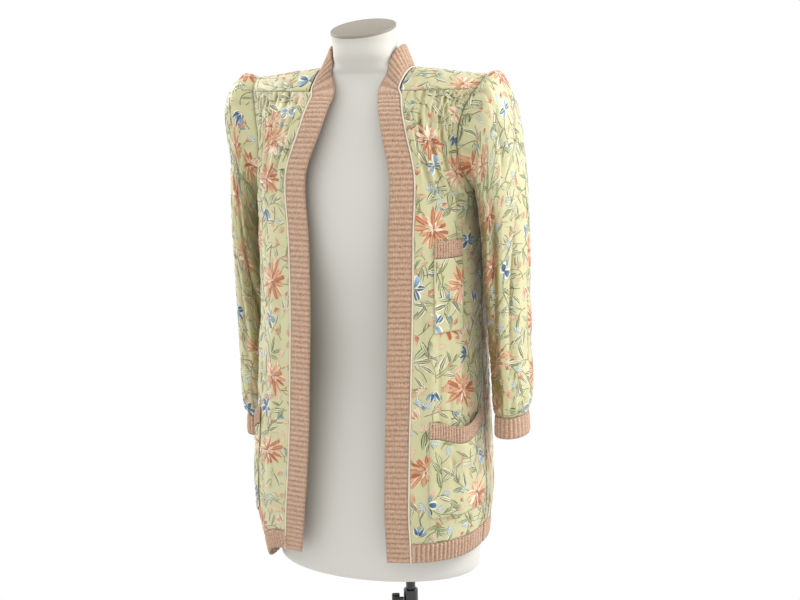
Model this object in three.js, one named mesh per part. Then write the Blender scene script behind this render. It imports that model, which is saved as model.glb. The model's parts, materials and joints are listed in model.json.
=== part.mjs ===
// A hip-length embroidered silk jacket with rib-knit trims, open at the front, on a limbless dress form
// that stands on a telescopic pole. Millimetres, +Z up, the front faces -Y, the wearer's left is +X.
// The origin is the middle of the base plate's underside, on the pole's axis.
import * as THREE from "three";

// Cloth and seams
const SILK = 1.6;
const KNIT = 2.2;
const SEAM_GAP = 0.3;
const CURVED_GAP = 0.9;
const RIB_RISE = 1.3;
const BAND_WIDTH = 38;
const BAND_RIB = 8.8;
const HEM_HEIGHT = 33;
const CUFF_HEIGHT = 36;
const CUFF_RIBS = 24;
const PIPING_WIDTH = 2.6;

// Heights of the garment
const HEM_LOW = 690;
const HEM_SEAM = HEM_LOW + HEM_HEIGHT;
const UNDERARM = 1290;
const YOKE_SEAM = 1455;
const SHOULDER_TIP = 1479;
const CUFF_SEAM = 908;
const NECK_SIDE = 1491;

// The jacket's axis beside the pole's
const JACKET_X = -33;
const JACKET_Y = -42;

// Horizontal sections of the jacket's body: half widths to the wearer's left and right, depth in front
// of and behind the side seams, and how square the section is
const BODY = [
  { z: 640, left: 183, right: 199, front: 144, back: 136, square: 2.6 },
  { z: 690, left: 184, right: 200, front: 146, back: 138, square: 2.6 },
  { z: 723, left: 187, right: 206, front: 149, back: 141, square: 2.6 },
  { z: 770, left: 193, right: 214, front: 155, back: 147, square: 2.6 },
  { z: 830, left: 193, right: 212, front: 155, back: 146, square: 2.6 },
  { z: 880, left: 192, right: 207, front: 154, back: 143, square: 2.6 },
  { z: 960, left: 190, right: 200, front: 152, back: 138, square: 2.6 },
  { z: 1080, left: 189, right: 194, front: 149, back: 131, square: 2.6 },
  { z: 1200, left: 189, right: 191, front: 148, back: 127, square: 2.6 },
  { z: 1290, left: 189, right: 189, front: 146, back: 126, square: 2.6 },
  { z: 1340, left: 188, right: 188, front: 139, back: 125, square: 2.6 },
  { z: 1380, left: 190, right: 190, front: 125, back: 120, square: 2.7 },
  { z: 1420, left: 200, right: 200, front: 101, back: 106, square: 2.9 },
  { z: 1455, left: 212, right: 212, front: 66, back: 78, square: 3.0 },
];

// Where the front bands' seams run: distance from the middle on the wearer's left and right
const FRONT_SEAM = [
  { z: 640, left: 105, right: 134 },
  { z: 690, left: 106, right: 128 },
  { z: 770, left: 108, right: 114 },
  { z: 880, left: 111, right: 103 },
  { z: 1000, left: 115, right: 97 },
  { z: 1120, left: 119, right: 92 },
  { z: 1230, left: 122, right: 91 },
  { z: 1325, left: 124, right: 95 },
  { z: 1395, left: 106, right: 78 },
  { z: 1455, left: 82, right: 72 },
];

// How far out the armhole's edge lies at each height
const ARMHOLE = [
  { z: 1290, out: 189 },
  { z: 1310, out: 185 },
  { z: 1340, out: 178 },
  { z: 1375, out: 176 },
  { z: 1410, out: 181 },
  { z: 1440, out: 190 },
  { z: 1460, out: 200 },
  { z: 1472, out: 204.5 },
  { z: 1479, out: 206 },
];

// The neck's edge on the shoulder surface, from the front yoke seam round to the middle of the back
const NECK_EDGE = [
  { x: 77, y: -61, lean: 30 },
  { x: 77, y: -48, lean: 42 },
  { x: 78, y: -32, lean: 56 },
  { x: 79, y: -12, lean: 66 },
  { x: 77, y: 8, lean: 69 },
  { x: 71, y: 26, lean: 69 },
  { x: 58, y: 44, lean: 68 },
  { x: 38, y: 57, lean: 68 },
  { x: 18, y: 64, lean: 68 },
  { x: 0.3, y: 66, lean: 68 },
];

// The yokes: where the shoulder's ridge falls away, the neck's corners and the surface's rows
const RIDGE_FALL = 15;
const RIDGE_NEAR_X = 60;
const RIDGE_FAR_X = 230;
const NECK_SIDE_X = 80;
const NECK_MIDDLE_Y = -12;
const NECK_CORNER = 60;
const NECK_CLEAR = 2.8;
const YOKE_ROWS = 8;
const YOKE_COLUMNS = 8;
const YOKE_EDGE = 0.98;
const TIP_X = 190;
const TIP_GAP = 0.5;
const BACK_NECK_COLUMNS = 8;
const BACK_NECK_ROWS = 3;

// The seam between sleeve and armhole, and the ring from which the sleeve's points are evenly spread
const LOOP_GAP = 0.75;
const SEAM_TURN = 3;
const LOOP_STRETCH = 1.4;
const EVEN_RING = 6;

// Sleeve rings from the armhole to the cuff: the outer and inner points seen from the front, the half
// depth from front to back, and how square the ring is
const SLEEVE = [
  { topX: 220, topZ: 1480, lowX: 191.5, lowZ: 1284, half: 69, square: 2.1 },
  { topX: 231, topZ: 1466, lowX: 194, lowZ: 1275, half: 73, square: 2.1 },
  { topX: 243, topZ: 1439, lowX: 196.5, lowZ: 1260, half: 74, square: 2.1 },
  { topX: 252, topZ: 1402, lowX: 198, lowZ: 1240, half: 73, square: 2.1 },
  { topX: 259, topZ: 1358, lowX: 199, lowZ: 1212, half: 70, square: 2.1 },
  { topX: 265, topZ: 1298, lowX: 200, lowZ: 1172, half: 67, square: 2.1 },
  { topX: 267, topZ: 1212, lowX: 200.5, lowZ: 1120, half: 63, square: 2.1 },
  { topX: 266, topZ: 1120, lowX: 201.5, lowZ: 1060, half: 60, square: 2.1 },
  { topX: 266, topZ: 1030, lowX: 204, lowZ: 1000, half: 57, square: 2.1 },
  { topX: 266, topZ: 960, lowX: 206, lowZ: 950, half: 53, square: 2.1 },
  { topX: 264, topZ: 925, lowX: 208, lowZ: 922, half: 47, square: 2.1 },
  { topX: 260, topZ: CUFF_SEAM, lowX: 211, lowZ: CUFF_SEAM, half: 42, square: 2.1 },
];
const CUFF_FLARE = 1.5;
const HEAD_LOW = 1320;
const HEAD_TOP = 1450;
const BESIDE_BODY_X = 198;
const FREE_OF_BODY_X = 232;

// How each sleeve lies: how far its cuff drops and hangs back, and how far out the cuff, the middle
// and the head stand
const SLEEVE_HANG = {
  1: { drop: -14, back: 6, cuffOut: 3, middleOut: 0, headOut: 0 },
  [-1]: { drop: 24, back: 24, cuffOut: 0, middleOut: -12, headOut: 12 },
};

// Vertical gathers and folds of one front: the column of its crest, counted from the band's seam,
// how far it stands out, its width in columns and the heights between which it runs
const FRONT_COLUMNS = 22;
const FOLD_FOOT = 90;
const FOLD_HEAD = 60;
const FRONT_FOLDS = [
  { column: 2, deep: 3.2, wide: 0.7, top: 1455, low: 1290 },
  { column: 4, deep: 2.6, wide: 0.7, top: 1455, low: 1330 },
  { column: 6, deep: 3.6, wide: 0.7, top: 1455, low: 1230 },
  { column: 8, deep: 2.8, wide: 0.7, top: 1455, low: 1310 },
  { column: 11, deep: 3.8, wide: 0.8, top: 1455, low: 1215 },
  { column: 13, deep: 2.8, wide: 0.7, top: 1455, low: 1320 },
  { column: 16, deep: 3.6, wide: 0.8, top: 1455, low: 1250 },
  { column: 18, deep: 2.6, wide: 0.7, top: 1455, low: 1330 },
  { column: 4.5, deep: 3.6, wide: 1.5, top: 1120, low: 740 },
  { column: 12.5, deep: 4, wide: 1.7, top: 1040, low: 740 },
];

// Vertical gathers and folds of the back, with columns counted from the wearer's left side seam
const BACK_COLUMNS = 38;
const BACK_FOLDS = [
  { column: 4, deep: 3.2, wide: 0.7, top: 1455, low: 1280 },
  { column: 7, deep: 3.6, wide: 0.7, top: 1455, low: 1180 },
  { column: 10, deep: 3, wide: 0.7, top: 1455, low: 1300 },
  { column: 14, deep: 3.8, wide: 0.7, top: 1455, low: 1120 },
  { column: 17, deep: 3.2, wide: 0.7, top: 1455, low: 1260 },
  { column: 21, deep: 3.8, wide: 0.7, top: 1455, low: 1160 },
  { column: 24, deep: 3, wide: 0.7, top: 1455, low: 1290 },
  { column: 28, deep: 3.6, wide: 0.7, top: 1455, low: 1200 },
  { column: 31, deep: 3.2, wide: 0.7, top: 1455, low: 1270 },
  { column: 34, deep: 2.8, wide: 0.7, top: 1455, low: 1310 },
  { column: 10, deep: 6, wide: 1.7, top: 1150, low: 700 },
  { column: 19, deep: 7, wide: 1.8, top: 1100, low: 700 },
  { column: 28, deep: 6, wide: 1.7, top: 1180, low: 700 },
];

// Heights of the panels' rows, from the hem rib's seam to the yoke's
const PANEL_ROWS = [723, 800, 880, 970, 1070, 1180, 1290, 1318, 1350, 1382, 1412, 1437, 1455];

// Each front and the back are one piece of cloth. They are kept as solids that lie edge to edge: one for
// each of these levels, given by its first and last row, and at the back one for each side.
const PANEL_LEVELS = [
  { level: "low", first: 0, last: 3 },
  { level: "waist", first: 3, last: 6 },
  { level: "chest", first: 6, last: 12 },
];

// How far the hem hangs lower on the wearer's right side
const SIDE_DROP = 55;
const SIDE_DROP_TURN = 84;
const SIDE_DROP_SPREAD = 30;
const SIDE_DROP_TOP = 1000;

// Side seams, and the points along each length of hem rib
const SIDE_SEAM_TURN = 0.12;
const FRONT_HEM_STEPS = 28;
const BACK_HEM_STEPS = 84;

// Patch pockets: the panel columns they span, and their heights
const HIP_POCKET = { low: 768, seam: 902, top: 930, sag: 13 };
const HIP_COLUMNS = { 1: [4, 21], [-1]: [10, 21] };
const BREAST_POCKET = { low: 1074, seam: 1193, top: 1221, sag: 0 };
const BREAST_COLUMNS = [5, 14];
const POCKET_STAND = 2.6;
const POCKET_RIB = 7;

// The form's sections, a general figure with no arms
const FORM = [
  { z: 640, side: 177, front: 108, back: 106, x: -8, y: 0 },
  { z: 646, side: 182, front: 113, back: 111, x: -8, y: 0 },
  { z: 720, side: 185, front: 119, back: 120, x: -8, y: 0 },
  { z: 810, side: 181, front: 117, back: 124, x: -7, y: 0 },
  { z: 900, side: 165, front: 107, back: 112, x: -6, y: 0 },
  { z: 1010, side: 139, front: 92, back: 88, x: -4, y: 0 },
  { z: 1110, side: 147, front: 103, back: 92, x: -2, y: 0 },
  { z: 1210, side: 160, front: 125, back: 102, x: 0, y: 0 },
  { z: 1290, side: 165, front: 127, back: 107, x: 0, y: 0 },
  { z: 1360, side: 168, front: 108, back: 106, x: 0, y: 0 },
  { z: 1410, side: 165, front: 83, back: 92, x: 0, y: 0 },
  { z: 1445, side: 150, front: 58, back: 66, x: 0, y: 0 },
  { z: 1468, side: 122, front: 44, back: 46, x: 0, y: -1 },
  { z: 1481, side: 92, front: 38, back: 38, x: 0, y: -3 },
  { z: 1487, side: 77, front: 40, back: 40, x: 0, y: -5 },
  { z: 1496, side: 58, front: 42, back: 45, x: 0, y: -9 },
  { z: 1512, side: 54, front: 50, back: 49, x: 0, y: -12 },
  { z: 1530, side: 53, front: 53, back: 51, x: 0, y: -14 },
];
const FORM_COLUMNS = 24;
const NECK_CAP = { y: -19, z: 1556, side: 54, depth: 53, slant: 15, thick: 4 };

// The stand
const BASE_RADIUS = 165;
const BASE_THICK = 8;
const TUBE_RADIUS = 11;
const TUBE_TOP = 560;
const POLE_RADIUS = 8.5;
const POLE_LOW = 60;
const POLE_CLEAR = 0.6;
const COLLAR_RADIUS = 12.8;
const COLLAR_LOW = 532;
const COLLAR_TOP = 570;
const SOCKET_LOW = 610;
const SOCKET_RADIUS = 17;
const FLANGE_RADIUS = 38;
const FLANGE_THICK = 5;
const KNOB_HEIGHT = 551;
const KNOB_REACH = 34;
const KNOB_RADIUS = 11;
const KNOB_THICK = 14;
const KNOB_BEVEL = 2.5;
const KNOB_STEM = 4;
const KNOB_TURN = -25;
const BASE_BEVEL = 3;
const BASE_SIDES = 36;
const ROUND_SIDES = 24;
const KNOB_SIDES = 16;

const radians = THREE.MathUtils.degToRad;
const clamp = THREE.MathUtils.clamp;

function bell(value, middle, spread) {
  return Math.exp(-(((value - middle) / spread) ** 2));
}

function ease(value, from, to) {
  return THREE.MathUtils.smoothstep((value - from) / (to - from), 0, 1);
}

// A smooth curve through a table's rows, read at one value of its key column
function readTable(rows, key, value) {
  const last = rows.length - 1;
  let i = 0;
  while (i < last - 1 && value > rows[i + 1][key]) i += 1;
  const start = rows[i];
  const end = rows[i + 1];
  const span = end[key] - start[key];
  const t = clamp((value - start[key]) / span, 0, 1);
  const before = rows[Math.max(i - 1, 0)];
  const after = rows[Math.min(i + 2, last)];
  const result = {};
  for (const column of Object.keys(start)) {
    const slopeIn = ((end[column] - before[column]) / (end[key] - before[key])) * span;
    const slopeOut = ((after[column] - start[column]) / (after[key] - start[key])) * span;
    result[column] =
      (2 * t ** 3 - 3 * t ** 2 + 1) * start[column] +
      (t ** 3 - 2 * t ** 2 + t) * slopeIn +
      (3 * t ** 2 - 2 * t ** 3) * end[column] +
      (t ** 3 - t ** 2) * slopeOut;
  }
  return result;
}

// The body's surface at a turn in degrees from the middle of the front (0) to that of the back (180)
function sectionPoint(side, turn, z) {
  const row = readTable(BODY, "z", z);
  const half = side > 0 ? row.left : row.right;
  const depth = turn < 90 ? row.front : row.back;
  const sine = Math.abs(Math.sin(radians(turn))) ** (2 / row.square);
  const cosine = Math.abs(Math.cos(radians(turn))) ** (2 / row.square);
  return new THREE.Vector3(side * half * sine, (turn < 90 ? -1 : 1) * depth * cosine, z);
}

function turnAtWidth(side, x, z) {
  const row = readTable(BODY, "z", z);
  const half = side > 0 ? row.left : row.right;
  return THREE.MathUtils.radToDeg(Math.asin(clamp(x / half, 0, 1) ** (row.square / 2)));
}

function sideDrop(side, turn, z) {
  if (side > 0) return 0;
  const lower = 1 - ease(z, HEM_SEAM, SIDE_DROP_TOP);
  return SIDE_DROP * bell(turn, SIDE_DROP_TURN, SIDE_DROP_SPREAD) * lower;
}

// The cloth of the body, with an extra rise outwards
function bodyPoint(side, turn, z, rise = 0) {
  const point = sectionPoint(side, turn, z);
  const along = sectionPoint(side, turn + 0.5, z).sub(sectionPoint(side, turn - 0.5, z));
  const outward = new THREE.Vector3(along.y, -along.x, 0).multiplyScalar(side).normalize();
  point.addScaledVector(outward, rise);
  point.z -= sideDrop(side, turn, z);
  return point;
}

function foldRise(folds, column, z) {
  let rise = 0;
  for (const fold of folds) {
    const foot = ease(z, fold.low, fold.low + FOLD_FOOT);
    const ends = foot * (1 - ease(z, fold.top, fold.top + FOLD_HEAD));
    rise += fold.deep * ends * bell(column, fold.column, fold.wide);
  }
  return rise;
}

function frontSeamX(side, z) {
  const row = readTable(FRONT_SEAM, "z", z);
  return side > 0 ? row.left : row.right;
}

// The turn that lies a distance outwards of the front seam, along the cloth
function turnFromSeam(side, z, distance) {
  const turn = turnAtWidth(side, frontSeamX(side, z), z);
  const perDegree = sectionPoint(side, turn + 0.5, z).distanceTo(sectionPoint(side, turn - 0.5, z));
  return turn + distance / perDegree;
}

function armholeTurn(side, z) {
  if (z <= UNDERARM) return 90;
  return turnAtWidth(side, readTable(ARMHOLE, "z", z).out, z);
}

function spread(from, to, count) {
  return Array.from({ length: count + 1 }, (_, i) => from + ((to - from) * i) / count);
}

function meshFromTriangles(name, points, triangles, material) {
  const geometry = new THREE.BufferGeometry();
  const flat = triangles.flat().flatMap((i) => points[i].toArray());
  geometry.setAttribute("position", new THREE.Float32BufferAttribute(flat, 3));
  geometry.computeVertexNormals();
  const mesh = new THREE.Mesh(geometry, material);
  mesh.name = name;
  return mesh;
}

// The outward direction at each point of a grid, from its neighbours along the rows and columns
function gridNormals(grid, closed) {
  const rows = grid.length;
  const columns = grid[0].length;
  return grid.map((row, j) =>
    row.map((_, i) => {
      const left = closed ? (i + columns - 1) % columns : Math.max(i - 1, 0);
      const right = closed ? (i + 1) % columns : Math.min(i + 1, columns - 1);
      const across = row[right].clone().sub(row[left]);
      const up = grid[Math.min(j + 1, rows - 1)][i].clone().sub(grid[Math.max(j - 1, 0)][i]);
      return across.cross(up).normalize();
    }),
  );
}

// A closed wall of cloth: the grid's rows run along it and its columns across. The outer side is the
// grid plus its raised ribs, the inner side is the plain grid moved in by the cloth's thickness.
function wall(name, grid, thick, material, options = {}) {
  const { closed = false, raised = () => 0, flip = false } = options;
  const rows = grid.length;
  const columns = grid[0].length;
  const normals = options.normals ?? gridNormals(grid, closed);
  const sign = flip ? -1 : 1;
  const outer = grid.map((row, j) =>
    row.map((p, i) => p.clone().addScaledVector(normals[j][i], sign * raised(j, i))),
  );
  const inner = grid.map((row, j) =>
    row.map((p, i) => p.clone().addScaledVector(normals[j][i], -sign * thick)),
  );
  const points = [...outer.flat(), ...inner.flat()];
  const at = (layer, j, i) => layer * rows * columns + j * columns + (i % columns);
  const triangles = [];
  const quad = (a, b, c, d) => triangles.push(flip ? [a, c, b] : [a, b, c], flip ? [a, d, c] : [a, c, d]);
  const across = closed ? columns : columns - 1;
  for (let j = 0; j < rows - 1; j += 1) {
    for (let i = 0; i < across; i += 1) {
      quad(at(0, j, i), at(0, j, i + 1), at(0, j + 1, i + 1), at(0, j + 1, i));
      quad(at(1, j, i), at(1, j + 1, i), at(1, j + 1, i + 1), at(1, j, i + 1));
    }
  }
  for (let i = 0; i < across; i += 1) {
    quad(at(0, 0, i), at(1, 0, i), at(1, 0, i + 1), at(0, 0, i + 1));
    quad(at(0, rows - 1, i), at(0, rows - 1, i + 1), at(1, rows - 1, i + 1), at(1, rows - 1, i));
  }
  for (let j = 0; j < rows - 1 && !closed; j += 1) {
    quad(at(0, j, 0), at(0, j + 1, 0), at(1, j + 1, 0), at(1, j, 0));
    const end = columns - 1;
    quad(at(0, j, end), at(1, j, end), at(1, j + 1, end), at(0, j + 1, end));
  }
  return meshFromTriangles(name, points, triangles, material);
}

// A closed strip of rib knit between two long edges. Every second point of its outer side is raised
// as a rib, and its inner side is plain, with a point for every few of the outer side's.
function ribStrip(name, first, second, thick, material, { closed = false, plain = 4, flip = false } = {}) {
  const count = first.length;
  const normals = gridNormals([first, second], closed)[0];
  const sign = flip ? -1 : 1;
  const steps = closed ? count : count - 1;
  const points = [];
  for (const edge of [first, second]) {
    edge.forEach((p, i) => points.push(p.clone().addScaledVector(normals[i], sign * (i % 2) * RIB_RISE)));
    edge.forEach((p, i) => points.push(p.clone().addScaledVector(normals[i], -sign * thick)));
  }
  const at = (edge, layer, i) => (edge * 2 + layer) * count + (i % count);
  const triangles = [];
  const add = (a, b, c) => triangles.push(flip ? [a, c, b] : [a, b, c]);
  for (let i = 0; i < steps; i += 1) {
    add(at(0, 0, i), at(0, 0, i + 1), at(1, 0, i + 1));
    add(at(0, 0, i), at(1, 0, i + 1), at(1, 0, i));
  }
  for (let i = 0; i < steps; i += plain) {
    const end = Math.min(i + plain, steps);
    const middle = Math.floor((i + end) / 2);
    add(at(0, 1, i), at(1, 1, i), at(1, 1, end));
    add(at(0, 1, i), at(1, 1, end), at(0, 1, end));
    for (let k = i; k < end; k += 1) {
      const foot = k < middle ? i : end;
      add(at(0, 0, k), at(0, 1, foot), at(0, 0, k + 1));
      add(at(1, 0, k), at(1, 0, k + 1), at(1, 1, foot));
    }
    add(at(0, 0, middle), at(0, 1, i), at(0, 1, end));
    add(at(1, 0, middle), at(1, 1, end), at(1, 1, i));
  }
  if (!closed) {
    add(at(0, 0, 0), at(1, 0, 0), at(1, 1, 0));
    add(at(0, 0, 0), at(1, 1, 0), at(0, 1, 0));
    add(at(0, 0, steps), at(1, 1, steps), at(1, 0, steps));
    add(at(0, 0, steps), at(0, 1, steps), at(1, 1, steps));
  }
  const used = [...new Set(triangles.flat())];
  const index = new Map(used.map((old, i) => [old, i]));
  return meshFromTriangles(
    name,
    used.map((old) => points[old]),
    triangles.map((triangle) => triangle.map((old) => index.get(old))),
    material,
  );
}

// A solid lofted through closed rings, with a flat fan at each end
function loft(name, rings, material) {
  const columns = rings[0].length;
  const points = rings.flat();
  const triangles = [];
  for (let j = 0; j < rings.length - 1; j += 1) {
    for (let i = 0; i < columns; i += 1) {
      const a = j * columns + i;
      const b = j * columns + ((i + 1) % columns);
      triangles.push([a, b, b + columns], [a, b + columns, a + columns]);
    }
  }
  for (const [start, turned] of [[0, true], [(rings.length - 1) * columns, false]]) {
    const centre = new THREE.Vector3();
    for (let i = 0; i < columns; i += 1) centre.addScaledVector(points[start + i], 1 / columns);
    points.push(centre);
    for (let i = 0; i < columns; i += 1) {
      const next = start + ((i + 1) % columns);
      triangles.push(turned ? [start + i, points.length - 1, next] : [start + i, next, points.length - 1]);
    }
  }
  return meshFromTriangles(name, points, triangles, material);
}

function turned(name, profile, material, sides = ROUND_SIDES) {
  const points = profile.map(([radius, height]) => new THREE.Vector2(radius, height));
  const geometry = new THREE.LatheGeometry(points, sides);
  geometry.rotateX(Math.PI / 2);
  const mesh = new THREE.Mesh(geometry, material);
  mesh.name = name;
  return mesh;
}

// Finishes
const silk = new THREE.MeshStandardMaterial({ color: 0xe2dcab, roughness: 0.45 });
const knit = new THREE.MeshStandardMaterial({ color: 0xd6a284, roughness: 0.85 });
const cream = new THREE.MeshStandardMaterial({ color: 0xeee0cd, roughness: 0.5 });
const shell = new THREE.MeshStandardMaterial({ color: 0xe4e2dc, roughness: 0.5 });
const capWood = new THREE.MeshStandardMaterial({ color: 0x8f8780, roughness: 0.7 });
const blackSteel = new THREE.MeshStandardMaterial({ color: 0x0c0c0d, roughness: 0.25, metalness: 0.6 });

const worn = new THREE.Group();
worn.position.set(JACKET_X, JACKET_Y, 0);

const sides = [
  { side: 1, word: "left" },
  { side: -1, word: "right" },
];

// A panel's solids. They share the whole panel's outward directions, so that their edges match.
function addPanel(name, grid, [first, last], flip) {
  const normals = gridNormals(grid, false);
  for (const level of PANEL_LEVELS) {
    const cut = (rows) => rows.slice(level.first, level.last + 1).map((row) => row.slice(first, last + 1));
    const piece = cut(grid).map((row) => row.map((point) => point.clone()));
    if (level.first > 0) {
      for (const point of piece[0]) point.z += SEAM_GAP;
    }
    if (first > 0) {
      for (const row of piece) row[0].x -= SEAM_GAP;
    }
    worn.add(wall(`${name}_${level.level}`, piece, SILK, silk, { flip, normals: cut(normals) }));
  }
}

// Front panels
const seamHalf = PIPING_WIDTH / 2 + SEAM_GAP;
const frontGrids = {};

function frontPoint(side, column, z, rise = 0) {
  const start = turnFromSeam(side, z, seamHalf);
  const end = armholeTurn(side, z) - SIDE_SEAM_TURN;
  const turn = start + ((end - start) * column) / FRONT_COLUMNS;
  return bodyPoint(side, turn, z, rise + foldRise(FRONT_FOLDS, column, z));
}

for (const { side, word } of sides) {
  const columns = spread(0, FRONT_COLUMNS, FRONT_COLUMNS);
  const grid = PANEL_ROWS.map((z) => columns.map((column) => frontPoint(side, column, z)));
  for (const point of grid[0]) point.z += CURVED_GAP;
  frontGrids[side] = grid;
  addPanel(`front_${word}`, grid, [0, FRONT_COLUMNS], side < 0);
}

// Back panel
function backPoint(column, z) {
  const half = BACK_COLUMNS / 2;
  const side = column < half ? 1 : -1;
  const end = 180 + SIDE_SEAM_TURN - armholeTurn(side, z);
  const turn = end + (180 - end) * (1 - Math.abs(column - half) / half);
  return bodyPoint(side, turn, z, foldRise(BACK_FOLDS, column, z));
}

const backGrid = PANEL_ROWS.map((z) =>
  spread(0, BACK_COLUMNS, BACK_COLUMNS).map((column) => backPoint(column, z)),
);
for (const point of backGrid[0]) point.z += CURVED_GAP;
addPanel("back_left", backGrid, [0, BACK_COLUMNS / 2], false);
addPanel("back_right", backGrid, [BACK_COLUMNS / 2, BACK_COLUMNS], false);

// Yokes: one surface over the shoulders, highest along the ridge between neck and shoulder tip
function ridgeHeight(x) {
  return NECK_SIDE - RIDGE_FALL * ease(Math.abs(x), RIDGE_NEAR_X, RIDGE_FAR_X);
}

function yokeDepth(x, y) {
  const row = readTable(BODY, "z", YOKE_SEAM);
  const out = clamp(Math.abs(x) / row.left, 0, 1);
  return (y < 0 ? row.front : row.back) * (1 - out ** row.square) ** (1 / row.square);
}

// A point over the shoulder at a share of the way from the ridge (0) to the front (-1) or back (1) seam
function yokePoint(x, share) {
  const ridge = ridgeHeight(x);
  return new THREE.Vector3(x, share * yokeDepth(x, share), ridge - (ridge - YOKE_SEAM) * share ** 2);
}

function neckEdgeX(y) {
  const before = NECK_EDGE.filter((row) => row.y <= y);
  const i = clamp(before.length - 1, 0, NECK_EDGE.length - 2);
  const start = NECK_EDGE[i];
  const end = NECK_EDGE[i + 1];
  return start.x + (end.x - start.x) * clamp((y - start.y) / (end.y - start.y), 0, 1);
}

const yokeGrids = {};
for (const { side, word } of sides) {
  const grid = spread(-YOKE_EDGE, YOKE_EDGE, YOKE_ROWS).map((share) => {
    const tip = readTable(ARMHOLE, "z", yokePoint(TIP_X, share).z).out - TIP_GAP;
    const neckX = Math.max(neckEdgeX(share * yokeDepth(NECK_SIDE_X, share)), NECK_CORNER);
    const near = neckX + seamHalf + NECK_CLEAR;
    return spread(near, tip, YOKE_COLUMNS).map((x) => {
      const point = yokePoint(x, share);
      point.x *= side;
      return point;
    });
  });
  yokeGrids[side] = grid;
  worn.add(wall(`yoke_${word}`, grid, SILK, silk, { flip: side < 0 }));
}

const neckFromBack = [...NECK_EDGE].reverse();
const backNeckHalf = NECK_CORNER + seamHalf + NECK_CLEAR - SEAM_GAP;
const backNeck = spread(0, 1, BACK_NECK_ROWS).map((up) =>
  spread(backNeckHalf, -backNeckHalf, BACK_NECK_COLUMNS).map((x) => {
    const depth = yokeDepth(x, 1);
    const edge = readTable(neckFromBack, "x", Math.min(Math.abs(x), NECK_CORNER)).y + seamHalf + NECK_CLEAR;
    return yokePoint(x, YOKE_EDGE + (edge / depth - YOKE_EDGE) * up);
  }),
);
worn.add(wall("yoke_back", backNeck, SILK, silk));

// The front edge: frames of seam point and direction across the band, from the hem up to the yoke seam,
// straight between the panel's rows, then round the neck to the middle of the back
function bandFrames(side) {
  const rows = [HEM_LOW, ...PANEL_ROWS].map((z) => {
    const seam = bodyPoint(side, turnFromSeam(side, z, 0), z);
    const inner = bodyPoint(side, turnFromSeam(side, z, -BAND_WIDTH), z);
    return { seam, across: inner.sub(seam).normalize() };
  });
  const neck = NECK_EDGE.map(({ x, y, lean }) => {
    const seam = yokePoint(x, y / yokeDepth(x, y));
    const inward = new THREE.Vector3(x < 1 ? 0 : -x, NECK_MIDDLE_Y - y, 0).normalize();
    const across = inward.multiplyScalar(Math.cos(radians(lean)));
    across.z = Math.sin(radians(lean));
    seam.x *= side;
    across.x *= side;
    return { seam, across };
  });
  const last = rows[rows.length - 1];
  const curved = [last, ...neck];
  const seams = new THREE.CatmullRomCurve3(curved.map((frame) => frame.seam), false, "centripetal");
  const leans = new THREE.CatmullRomCurve3(curved.map((frame) => frame.across), false, "centripetal");
  const frames = [];
  for (let i = 0; i < rows.length - 1; i += 1) {
    const start = rows[i];
    const end = rows[i + 1];
    const count = Math.max(2, 2 * Math.round(start.seam.distanceTo(end.seam) / BAND_RIB));
    for (let k = 0; k < count; k += 1) {
      const seam = start.seam.clone().lerp(end.seam, k / count);
      const across = start.across.clone().lerp(end.across, k / count).normalize();
      frames.push({ seam, across, row: k === 0 });
    }
  }
  const count = 2 * Math.round(seams.getLength() / BAND_RIB);
  for (let k = 0; k <= count; k += 1) {
    const across = leans.getPoint(k / count).normalize();
    frames.push({ seam: seams.getPoint(k / count), across, row: k % 2 === 0 });
  }
  return frames;
}

for (const { side, word } of sides) {
  const frames = bandFrames(side);
  const near = seamHalf + SEAM_GAP;
  const edge = (distance) => frames.map(({ seam, across }) => seam.clone().addScaledVector(across, distance));
  const options = { flip: side < 0, plain: 2 };
  worn.add(ribStrip(`band_${word}`, edge(near), edge(near + BAND_WIDTH), KNIT, knit, options));
  const rows = frames.filter((frame) => frame.row);
  const half = PIPING_WIDTH / 2;
  const cord = rows.map(({ seam, across }) => [
    seam.clone().addScaledVector(across, half),
    seam.clone().addScaledVector(across, -half),
  ]);
  worn.add(wall(`piping_${word}`, cord, SILK, cream, { raised: () => RIB_RISE / 2, flip: side < 0 }));
}

// Hem rib, in three lengths seamed at the sides
for (const { side, word } of sides) {
  const [low, seam] = [HEM_LOW, HEM_SEAM].map((z) => {
    const start = turnFromSeam(side, z, seamHalf);
    return spread(start, 90 - SIDE_SEAM_TURN, FRONT_HEM_STEPS).map((turn) => bodyPoint(side, turn, z));
  });
  worn.add(ribStrip(`hem_${word}`, low, seam, KNIT, knit, { flip: side < 0 }));
}
const [backLow, backSeam] = [HEM_LOW, HEM_SEAM].map((z) =>
  spread(90 + SIDE_SEAM_TURN, 270 - SIDE_SEAM_TURN, BACK_HEM_STEPS).map((turn) => {
    const side = turn < 180 ? 1 : -1;
    return bodyPoint(side, 180 - Math.abs(turn - 180), z);
  }),
);
worn.add(ribStrip("hem_back", backLow, backSeam, KNIT, knit));

// Sleeves: from the armhole's edge out over the puffed head and down to the cuff. The armhole's points
// are those of the panels' and yokes' edges, from the shoulder's ridge forward and down.
function armholeLoop(side) {
  const outerColumn = (grid) => grid.map((row) => row[row.length - 1].clone());
  const yoke = outerColumn(yokeGrids[side]);
  const front = outerColumn(frontGrids[side].slice(PANEL_ROWS.indexOf(UNDERARM)));
  const back = backGrid
    .slice(PANEL_ROWS.indexOf(UNDERARM))
    .map((row) => row[side > 0 ? 0 : row.length - 1].clone());
  const middle = YOKE_ROWS / 2;
  const forward = yoke.slice(1, middle + 1).reverse();
  const backward = yoke.slice(middle + 1, YOKE_ROWS);
  const loop = [...forward, ...front.reverse(), ...back.slice(1), ...backward];
  for (const point of loop) point.x += side * LOOP_GAP;
  return loop;
}

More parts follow.
